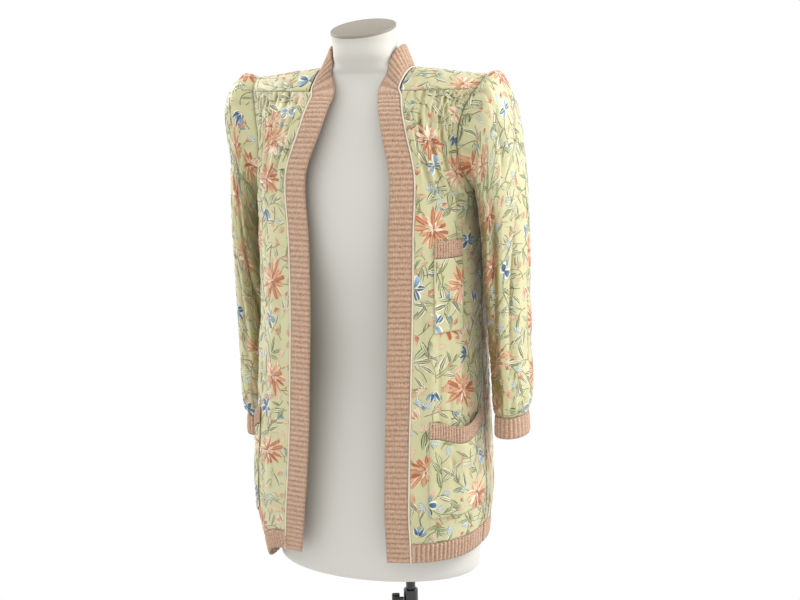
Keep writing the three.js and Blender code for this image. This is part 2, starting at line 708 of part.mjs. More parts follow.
function hang(side, z) {
  const end = SLEEVE_HANG[side];
  const low = 1 - ease(z, CUFF_SEAM, UNDERARM);
  const head = ease(z, HEAD_LOW, HEAD_TOP);
  return {
    drop: end.drop * low,
    back: end.back * low,
    out: end.cuffOut * low + end.middleOut * (1 - low) * (1 - head) + end.headOut * head,
  };
}

function sleevePoint(side, row, angle) {
  const up = Math.cos(angle);
  const forward = Math.sin(angle);
  const highest = Math.sign(up) * Math.abs(up) ** (2 / row.square);
  const depth = Math.sign(forward) * Math.abs(forward) ** (2 / row.square);
  const x = (row.topX + row.lowX) / 2 + ((row.topX - row.lowX) / 2) * highest;
  const z = (row.topZ + row.lowZ) / 2 + ((row.topZ - row.lowZ) / 2) * highest;
  const { drop, back, out } = hang(side, z);
  const clearOfBody = z > UNDERARM || out < 0 ? ease(x, BESIDE_BODY_X, FREE_OF_BODY_X) : 1;
  return new THREE.Vector3(side * (x + out * clearOfBody), back - row.half * depth, z - drop);
}

function cuffRow(down, grow) {
  const last = SLEEVE[SLEEVE.length - 1];
  return {
    topX: last.topX + grow,
    lowX: last.lowX - grow,
    topZ: last.topZ - down,
    lowZ: last.lowZ - down,
    half: last.half + grow,
    square: last.square,
  };
}

// The sleeve's points leave the armhole at the angles where they stand on it and are even further down
for (const { side, word } of sides) {
  const loop = armholeLoop(side);
  const even = spread(0, 2 * Math.PI, loop.length).slice(0, -1);
  const middle = (SHOULDER_TIP + UNDERARM) / 2;
  const seen = loop.map((point) => Math.atan2(-point.y * LOOP_STRETCH, point.z - middle));
  const fromArmhole = seen.map((angle, i) => (angle < 0 && i > 0 ? angle + 2 * Math.PI : angle));
  const grid = [loop, loop.map((point) => point.clone().setX(point.x + side * SEAM_TURN))];
  SLEEVE.forEach((row, k) => {
    const share = Math.min((k + 1) / EVEN_RING, 1);
    const angles = fromArmhole.map((angle, i) => angle + (even[i] - angle) * share);
    grid.push(angles.map((angle) => sleevePoint(side, row, angle)));
  });
  worn.add(wall(`sleeve_${word}`, grid, SILK, silk, { closed: true, flip: side < 0 }));
  const ribs = spread(0, 2 * Math.PI, CUFF_RIBS * 2).slice(0, -1);
  const [seam, low] = [cuffRow(CURVED_GAP, 0), cuffRow(CUFF_HEIGHT, CUFF_FLARE)].map((row) =>
    ribs.map((angle) => sleevePoint(side, row, angle)),
  );
  worn.add(ribStrip(`cuff_${word}`, seam, low, KNIT, knit, { closed: true, plain: 2, flip: side < 0 }));
}

// Patch pockets, each made from its panel's columns and moved out, with a rib top
function pocketPoint(side, column, z, rise) {
  const rows = PANEL_ROWS;
  let j = 0;
  while (j < rows.length - 2 && z > rows[j + 1]) j += 1;
  const share = (z - rows[j]) / (rows[j + 1] - rows[j]);
  const grid = frontGrids[side];
  const i = Math.min(Math.floor(column), FRONT_COLUMNS - 1);
  const low = grid[j][i].clone().lerp(grid[j][i + 1], column - i);
  const high = grid[j + 1][i].clone().lerp(grid[j + 1][i + 1], column - i);
  const across = grid[j][i + 1].clone().sub(grid[j][i]);
  const outward = across.cross(high.clone().sub(low)).multiplyScalar(side).normalize();
  return low.lerp(high, share).addScaledVector(outward, rise);
}

function pocket(side, [from, to], heights, silkName, ribName) {
  const between = PANEL_ROWS.filter((z) => z > heights.low && z < heights.seam);
  const levels = [heights.low, ...between, heights.seam];
  const stand = (column, z) => {
    const free = Math.sin((Math.PI * (column - from)) / (to - from)) * ease(z, heights.low, heights.seam);
    return SILK + 2 * SEAM_GAP + POCKET_STAND * free;
  };
  const slack = (column) => heights.sag * Math.sin((Math.PI * (column - from)) / (to - from)) ** 2;
  const patch = levels.map((z, j) =>
    spread(from, to, to - from).map((column) => {
      const level = j === levels.length - 1 ? z - slack(column) : z;
      return pocketPoint(side, column, level, stand(column, z));
    }),
  );
  worn.add(wall(silkName, patch, SILK, silk, { flip: side < 0 }));
  const top = patch[patch.length - 1];
  const width = top.reduce((sum, point, i) => sum + (i ? point.distanceTo(top[i - 1]) : 0), 0);
  const ribs = 2 * Math.round(width / POCKET_RIB);
  const [seam, edge] = [heights.seam + CURVED_GAP, heights.top].map((z) =>
    spread(from, to, ribs).map((column) =>
      pocketPoint(side, column, z - slack(column), stand(column, heights.seam) + RIB_RISE / 2),
    ),
  );
  worn.add(ribStrip(ribName, seam, edge, SILK, knit, { plain: 2, flip: side < 0 }));
}

for (const { side, word } of sides) {
  pocket(side, HIP_COLUMNS[side], HIP_POCKET, `hip_pocket_${word}`, `hip_pocket_rib_${word}`);
}
pocket(1, BREAST_COLUMNS, BREAST_POCKET, "breast_pocket", "breast_pocket_rib");

// The dress form, cut for its socket, and its slanted neck cap
function ovalRing({ side, front, back, x, y, z }) {
  return spread(0, 2 * Math.PI, FORM_COLUMNS)
    .slice(0, -1)
    .map((angle) => {
      const depth = Math.sin(angle) < 0 ? front : back;
      return new THREE.Vector3(x + side * Math.cos(angle), y + depth * Math.sin(angle), z);
    });
}

const slant = Math.tan(radians(NECK_CAP.slant));
function neckRing(below) {
  const ring = ovalRing({ ...NECK_CAP, x: 0, front: NECK_CAP.depth, back: NECK_CAP.depth });
  for (const point of ring) point.z += (point.y - NECK_CAP.y) * slant - below;
  return ring;
}

const formRings = FORM.map(ovalRing);
formRings.push(neckRing(NECK_CAP.thick + SEAM_GAP));
worn.add(loft("form", formRings, shell));
worn.add(loft("neck_cap", [neckRing(NECK_CAP.thick), neckRing(0)], capWood));

// The stand: flange and socket under the form, pole, tube, collar, clamp knob and base plate
const formLow = FORM[0].z;
const bore = POLE_RADIUS + POLE_CLEAR;
const standParts = new THREE.Group();
standParts.add(
  turned(
    "socket",
    [
      [0, formLow - FLANGE_THICK],
      [bore, formLow - FLANGE_THICK],
      [bore, SOCKET_LOW],
      [SOCKET_RADIUS, SOCKET_LOW],
      [SOCKET_RADIUS, formLow - SEAM_GAP - FLANGE_THICK],
      [FLANGE_RADIUS, formLow - SEAM_GAP - FLANGE_THICK],
      [FLANGE_RADIUS, formLow - SEAM_GAP],
      [0, formLow - SEAM_GAP],
    ],
    blackSteel,
  ),
);
standParts.add(
  turned(
    "pole",
    [
      [0, POLE_LOW],
      [POLE_RADIUS, POLE_LOW],
      [POLE_RADIUS, formLow - FLANGE_THICK - SEAM_GAP],
      [0, formLow - FLANGE_THICK - SEAM_GAP],
    ],
    blackSteel,
  ),
);
standParts.add(
  turned(
    "tube",
    [
      [bore, BASE_THICK + SEAM_GAP],
      [TUBE_RADIUS, BASE_THICK + SEAM_GAP],
      [TUBE_RADIUS, TUBE_TOP],
      [bore, TUBE_TOP],
      [bore, BASE_THICK + SEAM_GAP],
    ],
    blackSteel,
  ),
);
standParts.add(
  turned(
    "collar",
    [
      [TUBE_RADIUS + SEAM_GAP, COLLAR_LOW],
      [COLLAR_RADIUS, COLLAR_LOW],
      [COLLAR_RADIUS, COLLAR_TOP],
      [bore, COLLAR_TOP],
      [bore, TUBE_TOP + SEAM_GAP],
      [TUBE_RADIUS + SEAM_GAP, TUBE_TOP + SEAM_GAP],
      [TUBE_RADIUS + SEAM_GAP, COLLAR_LOW],
    ],
    blackSteel,
  ),
);
standParts.add(
  turned(
    "base",
    [
      [0, 0],
      [BASE_RADIUS, 0],
      [BASE_RADIUS, BASE_THICK - BASE_BEVEL],
      [BASE_RADIUS - BASE_BEVEL, BASE_THICK],
      [0, BASE_THICK],
    ],
    blackSteel,
    BASE_SIDES,
  ),
);

// The knob's own axis is turned to face the wearer's right front
const knob = turned(
  "knob",
  [
    [0, COLLAR_RADIUS + SEAM_GAP],
    [KNOB_STEM, COLLAR_RADIUS + SEAM_GAP],
    [KNOB_STEM, KNOB_REACH - KNOB_THICK],
    [KNOB_RADIUS - KNOB_BEVEL, KNOB_REACH - KNOB_THICK],
    [KNOB_RADIUS, KNOB_REACH - KNOB_THICK + KNOB_BEVEL],
    [KNOB_RADIUS, KNOB_REACH - KNOB_BEVEL],
    [KNOB_RADIUS - KNOB_BEVEL, KNOB_REACH],
    [0, KNOB_REACH],
  ],
  blackSteel,
  KNOB_SIDES,
);
knob.geometry.rotateY(-Math.PI / 2);
knob.geometry.rotateZ(radians(-KNOB_TURN));
knob.position.set(0, 0, KNOB_HEIGHT);
standParts.add(knob);

const part = new THREE.Group();
part.add(worn, standParts);

export default part;
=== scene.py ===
# The looks of an embroidered silk jacket with rib-knit trims, open at the front, on a limbless dress form
# that stands on a telescopic pole. Metres, +Z up, the front faces -Y, the wearer's left is +X.
import json
import math
import random

import bpy
import numpy as np
from mathutils import Matrix, Vector

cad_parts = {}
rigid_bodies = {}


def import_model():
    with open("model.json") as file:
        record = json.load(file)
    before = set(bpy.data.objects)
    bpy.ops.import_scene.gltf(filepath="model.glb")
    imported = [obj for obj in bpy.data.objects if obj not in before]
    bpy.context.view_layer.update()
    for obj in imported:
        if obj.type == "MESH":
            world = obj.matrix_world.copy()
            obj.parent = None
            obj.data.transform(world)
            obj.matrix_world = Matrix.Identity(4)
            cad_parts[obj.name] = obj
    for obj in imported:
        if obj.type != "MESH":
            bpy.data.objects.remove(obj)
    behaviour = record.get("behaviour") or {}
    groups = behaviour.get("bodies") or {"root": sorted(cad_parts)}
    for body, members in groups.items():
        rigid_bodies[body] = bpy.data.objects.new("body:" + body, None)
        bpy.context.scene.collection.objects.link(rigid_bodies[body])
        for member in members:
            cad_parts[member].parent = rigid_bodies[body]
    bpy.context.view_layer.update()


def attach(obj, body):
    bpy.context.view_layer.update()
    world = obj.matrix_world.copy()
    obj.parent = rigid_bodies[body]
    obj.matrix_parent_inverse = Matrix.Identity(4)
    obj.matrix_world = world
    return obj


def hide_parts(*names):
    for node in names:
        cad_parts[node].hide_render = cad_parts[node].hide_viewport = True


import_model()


# Stand: a round steel base plate with a tube, a clamp collar with its knob, a pole that slides in the
# tube, and a flanged socket screwed to the form. Turned and drawn steel, enamelled gloss black.
def linear(red, green, blue):
    """A colour of 0 to 255 in each channel, as the shader's linear values."""
    return [((c / 255 + 0.055) / 1.055) ** 2.4 if c > 10 else c / 255 / 12.92 for c in (red, green, blue)]


def new_material(name, color, roughness):
    material = bpy.data.materials.new(name)
    material.use_nodes = True
    shader = material.node_tree.nodes["Principled BSDF"]
    shader.inputs["Base Color"].default_value = (*color, 1)
    shader.inputs["Roughness"].default_value = roughness
    return material


def add_mesh(name, points, faces):
    mesh = bpy.data.meshes.new(name)
    mesh.from_pydata(np.asarray(points, float).tolist(), [], [list(map(int, face)) for face in faces])
    mesh.shade_smooth()
    piece = bpy.data.objects.new(name, mesh)
    bpy.context.scene.collection.objects.link(piece)
    return piece


def finish_piece(piece, material, body, nodes):
    """Gives a piece its material and its body, and hides the solids that it stands for."""
    piece.data.materials.clear()
    piece.data.materials.append(material)
    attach(piece, body)
    if nodes:
        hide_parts(*nodes)
    return piece


def lathe(profile, sides):
    """Points and faces of a closed turned shape; the profile's first and last points lie on the axis."""
    inner = profile[1:-1]
    angles = np.linspace(0, 2 * math.pi, sides, endpoint=False)
    points = [(0, 0, profile[0][1])]
    for radius, height in inner:
        points += [(radius * math.cos(a), radius * math.sin(a), height) for a in angles]
    points.append((0, 0, profile[-1][1]))
    faces = []
    for i in range(sides):
        after = (i + 1) % sides
        faces.append((0, 1 + after, 1 + i))
        for j in range(len(inner) - 1):
            low = 1 + j * sides
            faces.append((low + i, low + after, low + sides + after, low + sides + i))
        top = 1 + (len(inner) - 1) * sides
        faces.append((top + i, top + after, len(points) - 1))
    return np.array(points) * MM, faces


def rounded(radius, height, bevel, quarter):
    """Profile points round a corner of a turned shape, with the quarter turn they span."""
    start, end = quarter
    turns = [math.radians(start + (end - start) * k / 4) for k in range(5)]
    return [(radius + bevel * math.cos(a), height + bevel * math.sin(a)) for a in turns]


MM = 0.001
SEAM_GAP = 0.3
FORM_LOW = 640
BASE_RADIUS = 165
BASE_THICK = 8
BASE_BEVEL = 3
BASE_SIDES = 96
BOSS_RADIUS = 30
BOSS_TOP = BASE_THICK + 1.2
TUBE_RADIUS = 11
TUBE_LOW = BASE_THICK + 0.35
TUBE_TOP = 560
POLE_RADIUS = 8.5
POLE_LOW = 60
BORE = POLE_RADIUS + 0.6
COLLAR_RADIUS = 12.8
COLLAR_LOW = 532
COLLAR_TOP = 570
SOCKET_LOW = 610
SOCKET_RADIUS = 17
FLANGE_RADIUS = 38
FLANGE_LOW = FORM_LOW - 5 - SEAM_GAP
FLANGE_TOP = FORM_LOW - SEAM_GAP
ROUND_SIDES = 48

enamel = new_material("black_enamel", linear(14, 14, 15), 0.22)
enamel.node_tree.nodes["Principled BSDF"].inputs["Coat Weight"].default_value = 0.6
enamel.node_tree.nodes["Principled BSDF"].inputs["Coat Roughness"].default_value = 0.08

base_profile = [
    (0, 0),
    (BASE_RADIUS - 1, 0),
    (BASE_RADIUS, 1),
    *rounded(BASE_RADIUS - BASE_BEVEL, BASE_THICK - BASE_BEVEL, BASE_BEVEL, (0, 90)),
    (BOSS_RADIUS, BASE_THICK),
    (2 * TUBE_RADIUS, BOSS_TOP),
    (TUBE_RADIUS + 0.4, BOSS_TOP),
    (TUBE_RADIUS + 0.2, BASE_THICK + 0.4),
    (0, BASE_THICK + 0.4),
]
tube_profile = [
    (0, TUBE_LOW),
    (TUBE_RADIUS, TUBE_LOW),
    (TUBE_RADIUS, TUBE_TOP - 0.6),
    (TUBE_RADIUS - 0.6, TUBE_TOP),
    (BORE, TUBE_TOP),
    (BORE, TUBE_TOP - 10),
    (0, TUBE_TOP - 10),
]
collar_profile = [
    (0, COLLAR_LOW + 2),
    (TUBE_RADIUS + SEAM_GAP, COLLAR_LOW + 2),
    (TUBE_RADIUS + SEAM_GAP, COLLAR_LOW),
    *rounded(COLLAR_RADIUS - 1, COLLAR_LOW + 1, 1, (-90, 0)),
    *rounded(COLLAR_RADIUS - 1, COLLAR_TOP - 1, 1, (0, 90)),
    (BORE, COLLAR_TOP),
    (BORE, TUBE_TOP + 1),
    (0, TUBE_TOP + 1),
]
pole_profile = [
    (0, POLE_LOW),
    (POLE_RADIUS - 0.5, POLE_LOW),
    (POLE_RADIUS, POLE_LOW + 1),
    (POLE_RADIUS, FLANGE_LOW),
    (0, FLANGE_LOW),
]
socket_profile = [
    (0, FLANGE_LOW + 0.2),
    (BORE, FLANGE_LOW + 0.2),
    (BORE, SOCKET_LOW),
    (SOCKET_RADIUS - 1, SOCKET_LOW),
    (SOCKET_RADIUS, SOCKET_LOW + 1),
    (SOCKET_RADIUS, FLANGE_LOW - 1.7),
    (SOCKET_RADIUS + 1.5, FLANGE_LOW - 0.3),
    (FLANGE_RADIUS - 1, FLANGE_LOW),
    (FLANGE_RADIUS, FLANGE_LOW + 0.8),
    (FLANGE_RADIUS, FLANGE_TOP - 0.7),
    (FLANGE_RADIUS - 1, FLANGE_TOP),
    (0, FLANGE_TOP),
]
for name, profile, sides, body, solid in (
    ("base_plate", base_profile, BASE_SIDES, "stand", "base"),
    ("stand_tube", tube_profile, ROUND_SIDES, "stand", "tube"),
    ("clamp_collar", collar_profile, ROUND_SIDES, "stand", "collar"),
    ("sliding_pole", pole_profile, ROUND_SIDES, "pole", "pole"),
    ("form_socket", socket_profile, ROUND_SIDES, "torso", "socket"),
):
    points, faces = lathe(profile, sides)
    piece = add_mesh(name, points, faces)
    piece.data.set_sharp_from_angle(angle=math.radians(40))
    finish_piece(piece, enamel, body, [solid])

KNOB_HEIGHT = 551
KNOB_REACH = 34
KNOB_RADIUS = 11
KNOB_THICK = 14
KNOB_BEVEL = 2.5
KNOB_STEM = 4
KNOB_NEAR = KNOB_REACH - KNOB_THICK
KNOB_TURN = 25
GRIP_FROM = 0.0085
GRIP_NOTCHES = 12
GRIP_DEPTH = 0.07
knob_profile = [
    (0, COLLAR_RADIUS + SEAM_GAP),
    (KNOB_STEM, COLLAR_RADIUS + SEAM_GAP),
    (KNOB_STEM, KNOB_NEAR),
    (KNOB_RADIUS - KNOB_BEVEL, KNOB_NEAR),
    *rounded(KNOB_RADIUS - 1.5, KNOB_NEAR + 1.5, 1.5, (-90, 0)),
    *rounded(KNOB_RADIUS - KNOB_BEVEL, KNOB_REACH - KNOB_BEVEL, KNOB_BEVEL, (0, 90)),
    (0, KNOB_REACH),
]
points, faces = lathe(knob_profile, BASE_SIDES)
distance = np.hypot(points[:, 0], points[:, 1])
around = np.arctan2(points[:, 1], points[:, 0])
grip = 1 - GRIP_DEPTH * (distance > GRIP_FROM) * (np.cos(GRIP_NOTCHES * around) > 0.2)
points[:, 0] *= grip
points[:, 1] *= grip
sideways = Matrix.Rotation(math.radians(KNOB_TURN), 3, "Z") @ Matrix.Rotation(math.radians(-90), 3, "Y")
points = points @ np.array(sideways).T + (0, 0, KNOB_HEIGHT * MM)
knob = add_mesh("clamp_knob", points, faces)
knob.data.set_sharp_from_angle(angle=math.radians(35))
finish_piece(knob, enamel, "knob", ["knob"])


# Dress form: a limbless torso with a short neck, a moulded shell with a smooth off-white skin, and a
# slanted cap over the neck.
def read_table(rows, value):
    """A smooth curve through a table's rows, read at values of its first column."""
    rows = np.asarray(rows, float)
    value = np.asarray(value, float)
    last = len(rows) - 1
    i = np.clip(np.searchsorted(rows[:, 0], value, side="left") - 1, 0, last - 1)
    start, end = rows[i], rows[i + 1]
    before, after = rows[np.maximum(i - 1, 0)], rows[np.minimum(i + 2, last)]
    span = end[..., :1] - start[..., :1]
    t = np.clip((value[..., None] - start[..., :1]) / span, 0, 1)
    slope_in = (end - before) / (end[..., :1] - before[..., :1]) * span
    slope_out = (after - start) / (after[..., :1] - start[..., :1]) * span
    curve = (2 * t**3 - 3 * t**2 + 1) * start + (t**3 - 2 * t**2 + t) * slope_in
    curve += (3 * t**2 - 2 * t**3) * end + (t**3 - t**2) * slope_out
    return curve[..., 1:]


def grid_faces(rows, columns, closed=False, flip=False):
    """Four-cornered faces between the points of a grid; closed joins its last column to its first."""
    across = columns if closed else columns - 1
    j, i = np.meshgrid(np.arange(rows - 1), np.arange(across), indexing="ij")
    after = (i + 1) % columns
    low = j * columns
    high = low + columns
    quads = np.stack([low + i, low + after, high + after, high + i], -1).reshape(-1, 4)
    return quads[:, ::-1] if flip else quads


FORM = [  # height, half width, depth in front, depth behind, middle x, middle y
    (FORM_LOW, 177, 108, 106, -8, 0),
    (646, 182, 113, 111, -8, 0),
    (720, 185, 119, 120, -8, 0),
    (810, 181, 117, 124, -7, 0),
    (900, 165, 107, 112, -6, 0),
    (1010, 139, 92, 88, -4, 0),
    (1110, 147, 103, 92, -2, 0),
    (1210, 160, 125, 102, 0, 0),
    (1290, 165, 127, 107, 0, 0),
    (1360, 168, 108, 106, 0, 0),
    (1410, 165, 83, 92, 0, 0),
    (1445, 150, 58, 66, 0, 0),
    (1468, 122, 44, 46, 0, -1),
    (1481, 92, 38, 38, 0, -3),
    (1487, 77, 40, 40, 0, -5),
    (1496, 58, 42, 45, 0, -9),
    (1512, 54, 50, 49, 0, -12),
    (1530, 53, 53, 51, 0, -14),
]
FORM_SIDES = 96
SHOULDER_TOP = 1470
NECK_LOW = 1530
NECK_TOP = 1551.7
NECK_SIDE = 53
NECK_DEPTH = 52
NECK_BACK = -14
NECK_LEAN = 5
CAP_SLANT = 15
JACKET_PLACE = np.array([-33.0, -42.0, 0.0])


def worn(points):
    """Points beside the jacket's own axis, in millimetres, as points of the shared frame in metres."""
    return (np.asarray(points, float) + JACKET_PLACE) * MM


angles = np.linspace(0, 2 * math.pi, FORM_SIDES, endpoint=False)
heights = [FORM_LOW, FORM_LOW + 1.5, FORM_LOW + 3.5]
heights += [*np.arange(FORM_LOW + 6, SHOULDER_TOP, 8), *np.arange(SHOULDER_TOP, NECK_LOW, 3), NECK_LOW]
rings = []
for height, (half, front, behind, middle_x, middle_y) in zip(heights, read_table(FORM, heights)):
    depth = np.where(np.sin(angles) < 0, front, behind)
    ring_y = middle_y + depth * np.sin(angles)
    rings.append(np.stack([middle_x + half * np.cos(angles), ring_y, np.full(FORM_SIDES, height)], -1))
for share in (0.35, 0.7, 1.0):
    level = NECK_LOW + (NECK_TOP - NECK_LOW) * share
    ring_y = NECK_BACK - NECK_LEAN * share + (NECK_DEPTH + share) * np.sin(angles)
    tilt = share * math.tan(math.radians(CAP_SLANT)) * NECK_SIDE * np.sin(angles)
    rings.append(np.stack([(NECK_SIDE + share) * np.cos(angles), ring_y, level + tilt], -1))
cap_middle = np.array([0, NECK_BACK - NECK_LEAN, NECK_TOP])
cap_rings = [rings[-1] + (0, 0, SEAM_GAP)]
for grow, rise in ((0.0, 3.0), (-0.6, 3.9), (-1.6, 4.3)):
    scale = 1 + grow / (NECK_SIDE + 1)
    cap_rings.append(cap_middle + (rings[-1] - cap_middle) * scale + (0, 0, rise))


def closed_loft(name, loft_rings):
    """A closed shape through rings of points, with a point in the middle of each end."""
    count = len(loft_rings[0])
    points = np.concatenate([*loft_rings, [loft_rings[0].mean(0), loft_rings[-1].mean(0)]])
    faces = [tuple(face) for face in grid_faces(len(loft_rings), count, closed=True)]
    low, top = len(points) - 2, len(points) - 1
    start = (len(loft_rings) - 1) * count
    for i in range(count):
        after = (i + 1) % count
        faces.append((i, low, after))
        faces.append((start + i, start + after, top))
    return add_mesh(name, worn(points), faces)


shell_paint = new_material("form_skin", linear(208, 206, 198), 0.55)
shell_paint.node_tree.nodes["Principled BSDF"].inputs["Sheen Weight"].default_value = 0.15
torso = closed_loft("dress_form", rings)
torso.data.set_sharp_from_angle(angle=math.radians(60))
finish_piece(torso, shell_paint, "torso", ["form"])
# Painted shade: the cap's dark grey, far below the shell's, stands for the shade on the neck's top.
cap_shaded_grey = new_material("cap_grey_painted_shade", linear(138, 131, 119), 0.6)
cap = closed_loft("neck_cap_top", cap_rings)
cap.data.set_sharp_from_angle(angle=math.radians(60))
finish_piece(cap, cap_shaded_grey, "torso", ["neck_cap"])


# Back: one panel of embroidered silk, gathered into the yoke and falling in soft folds to the hem rib.
BODY = [  # height, half width left, half width right, depth in front, depth behind, squareness
    (640, 183, 199, 144, 136, 2.6),
    (690, 184, 200, 146, 138, 2.6),
    (723, 187, 206, 149, 141, 2.6),
    (770, 193, 214, 155, 147, 2.6),
    (830, 193, 212, 155, 146, 2.6),
    (880, 192, 207, 154, 143, 2.6),
    (960, 190, 200, 152, 138, 2.6),
    (1080, 189, 194, 149, 131, 2.6),
    (1200, 189, 191, 148, 127, 2.6),
    (1290, 189, 189, 146, 126, 2.6),
    (1340, 188, 188, 139, 125, 2.6),
    (1380, 190, 190, 125, 120, 2.7),
    (1420, 200, 200, 101, 106, 2.9),
    (1455, 212, 212, 66, 78, 3.0),
]
ARMHOLE = [  # height, distance out
    (1290, 189),
    (1310, 185),
    (1340, 178),
    (1375, 176),
    (1410, 181),
    (1440, 190),
    (1460, 200),
    (1472, 204.5),
    (1479, 206),
]
HEM_LOW = 690
HEM_SEAM = 723
UNDERARM = 1290
YOKE_SEAM = 1455
SEAM_HALF = 1.6
CURVED_GAP = 0.9
SIDE_SEAM_TURN = 0.12
SIDE_DROP = 55
SIDE_DROP_TURN = 84
SIDE_DROP_SPREAD = 30
SIDE_DROP_TOP = 1000
SILK_THICK = 1.2


def ease(value, start, end):
    """From 0 to 1, smoothly, as a value goes from its start to its end."""
    t = np.clip((np.asarray(value, float) - start) / (end - start), 0, 1)
    return t * t * (3 - 2 * t)


def bell(value, middle, wide):
    return np.exp(-(((value - middle) / wide) ** 2))


def section_point(side, turn, z):
    """The body's surface; a turn of 0 degrees is the middle of the front, and 180 that of the back."""
    row = read_table(BODY, z)
    half = row[..., 0] if side > 0 else row[..., 1]
    depth = np.where(turn < 90, row[..., 2], row[..., 3])
    power = 2 / row[..., 4]
    sine = np.abs(np.sin(np.radians(turn))) ** power
    cosine = np.abs(np.cos(np.radians(turn))) ** power
    return np.stack([side * half * sine, np.where(turn < 90, -1, 1) * depth * cosine, z + 0 * sine], -1)


def body_point(side, turn, z, rise=0.0):
    """A point of the body's cloth, raised outwards; the right side hangs lower at the hem."""
    turn, z = np.broadcast_arrays(np.asarray(turn, float), np.asarray(z, float))
    point = section_point(side, turn, z)
    along = section_point(side, turn + 0.5, z) - section_point(side, turn - 0.5, z)
    outward = np.stack([along[..., 1] * side, -along[..., 0] * side, 0 * z], -1)
    outward /= np.linalg.norm(outward, axis=-1, keepdims=True)
    point = point + outward * np.asarray(rise, float)[..., None]
    if side < 0:
        drop = SIDE_DROP * bell(turn, SIDE_DROP_TURN, SIDE_DROP_SPREAD)
        point[..., 2] -= drop * (1 - ease(z, HEM_SEAM, SIDE_DROP_TOP))
    return point


def turn_at_width(side, x, z):
    row = read_table(BODY, z)
    half = row[..., 0] if side > 0 else row[..., 1]
    return np.degrees(np.arcsin(np.clip(x / half, 0, 1) ** (row[..., 4] / 2)))


def armhole_turn(side, z):
    out = read_table(ARMHOLE, np.maximum(z, UNDERARM))[..., 0]
    return np.where(z <= UNDERARM, 90.0, turn_at_width(side, out, z))


FOLD_FOOT_SHARE = 0.45
FOLD_HEAD = 40
FOLD_SPREAD = 0.6


def fold_rise(folds, column, z):
    """How far the cloth stands out: each fold has its column, depth, width, top, foot and sway."""
    rise = np.zeros(np.broadcast(column, z).shape)
    for middle, deep, wide, top, low, sway in folds:
        share = np.clip((top - z) / (top - low), 0, 1)
        ends = ease(z, low, low + FOLD_FOOT_SHARE * (top - low)) * (1 - ease(z, top, top + FOLD_HEAD))
        rise += deep * ends * bell(column, middle + sway * share, wide * (1 + FOLD_SPREAD * share))
    return rise


def grid_normals(grid, closed=False):
    if closed:
        across = np.roll(grid, -1, 1) - np.roll(grid, 1, 1)
    else:
        across = np.gradient(grid, axis=1)
    normal = np.cross(across, np.gradient(grid, axis=0))
    return normal / np.maximum(np.linalg.norm(normal, axis=-1, keepdims=True), 1e-9)


CREASE_END = 0.08


def crease_rise(creases, s, t):
    """Creases across a piece: each runs from one point to another, bends, and has a width and depth."""
    rise = np.zeros(s.shape)
    for s0, t0, s1, t1, bend, wide, deep in creases:
        length = math.hypot(s1 - s0, t1 - t0)
        along = ((s - s0) * (s1 - s0) + (t - t0) * (t1 - t0)) / length**2
        inside = np.clip(along, 0, 1)
        beside = ((t - t0) * (s1 - s0) - (s - s0) * (t1 - t0)) / length
        beside -= 4 * bend * inside * (1 - inside)
        past = (along - inside) * length
        fade = np.sin(math.pi * np.clip(along * (1 - 2 * CREASE_END) + CREASE_END, 0, 1))
        rise += deep * fade * bell(np.hypot(beside, past), 0, wide)
    return rise


GATHER_DEPTH = 0.5
GATHER_HEAD = 12


def gather_rise(gathers, s, t):
    """Sunk lines between the gathers that hang from a seam, deepest just below it, then wider."""
    down = t[-1, 0] - t
    rise = np.zeros(s.shape)
    for start, length, wide, deep, sway in gathers:
        share = np.clip(down / length, 0, 1)
        fade = (1 - share**2) * (0.4 + 0.6 * ease(down, 0, GATHER_HEAD))
        rise -= GATHER_DEPTH * deep * fade * bell(s, start + sway * share, wide * (1.3 + 0.7 * share))
    return rise


HOLLOW_REACH = 13
HOLLOW_FROM = 0.25
HOLLOW_FULL = 1.9


def hollows(grid, normal):
    """Painted shade for the cloth: how far each point lies below the cloth beside it, from 0 on a crest to 1
    in deep hollows.
    """
    step = np.linalg.norm(np.diff(grid, axis=1), axis=-1).mean()
    count = max(1, int(round(HOLLOW_REACH / step)))
    total = np.zeros_like(grid)
    padded = np.pad(grid, ((0, 0), (count, count), (0, 0)), mode="edge")
    for k in range(2 * count + 1):
        total += padded[:, k : k + grid.shape[1]]
    sunk = ((total / (2 * count + 1) - grid) * normal).sum(-1)
    sunk[:, :count] = 0
    sunk[:, -count:] = 0
    return np.clip((sunk - HOLLOW_FROM) / HOLLOW_FULL, 0, 1)


def make_cloth(grid, flip, creases=(), gathers=(), origin=0.0):
    """A piece's grid with its lengths across (s) and up (t) in millimetres, its creases, normals and
    the painted shade of its hollows. Creases and gathers are placed by lengths from the first column; origin
    is the share of the columns from which the pattern's lengths are counted."""
    step = np.linalg.norm(np.diff(grid, axis=1), axis=-1)
    s = np.concatenate([np.zeros((len(grid), 1)), np.cumsum(step, 1)], 1)
    middle = grid[:, grid.shape[1] // 2]
    t = np.concatenate([[0], np.cumsum(np.linalg.norm(np.diff(middle, axis=0), axis=-1))])
    sign = -1 if flip else 1
    up = t[:, None] + 0 * s
    rise = crease_rise(creases, s, up) + gather_rise(gathers, s, up)
    grid = grid + sign * grid_normals(grid) * rise[..., None]
    normal = sign * grid_normals(grid)
    start = s[:, int(origin * (s.shape[1] - 1))]
    cloth = {"grid": grid, "s": s - start[:, None], "t": t, "normal": normal, "flip": flip}
    cloth["hollow"] = hollows(grid, normal)
    return cloth


def add_uv(piece, across, up):
    """A UV map of the piece's own lengths, in metres."""
    layer = piece.data.uv_layers.new(name="lengths")
    index = np.zeros(len(piece.data.loops), int)
    piece.data.loops.foreach_get("vertex_index", index)
    pairs = np.stack([across[index], up[index]], -1) * MM
    layer.data.foreach_set("uv", pairs.ravel())


def thicken(piece, thick):
    """Gives a shell its thickness in millimetres, on its inner side."""
    solid = piece.modifiers.new("thickness", "SOLIDIFY")
    solid.thickness = thick * MM
    solid.offset = -1


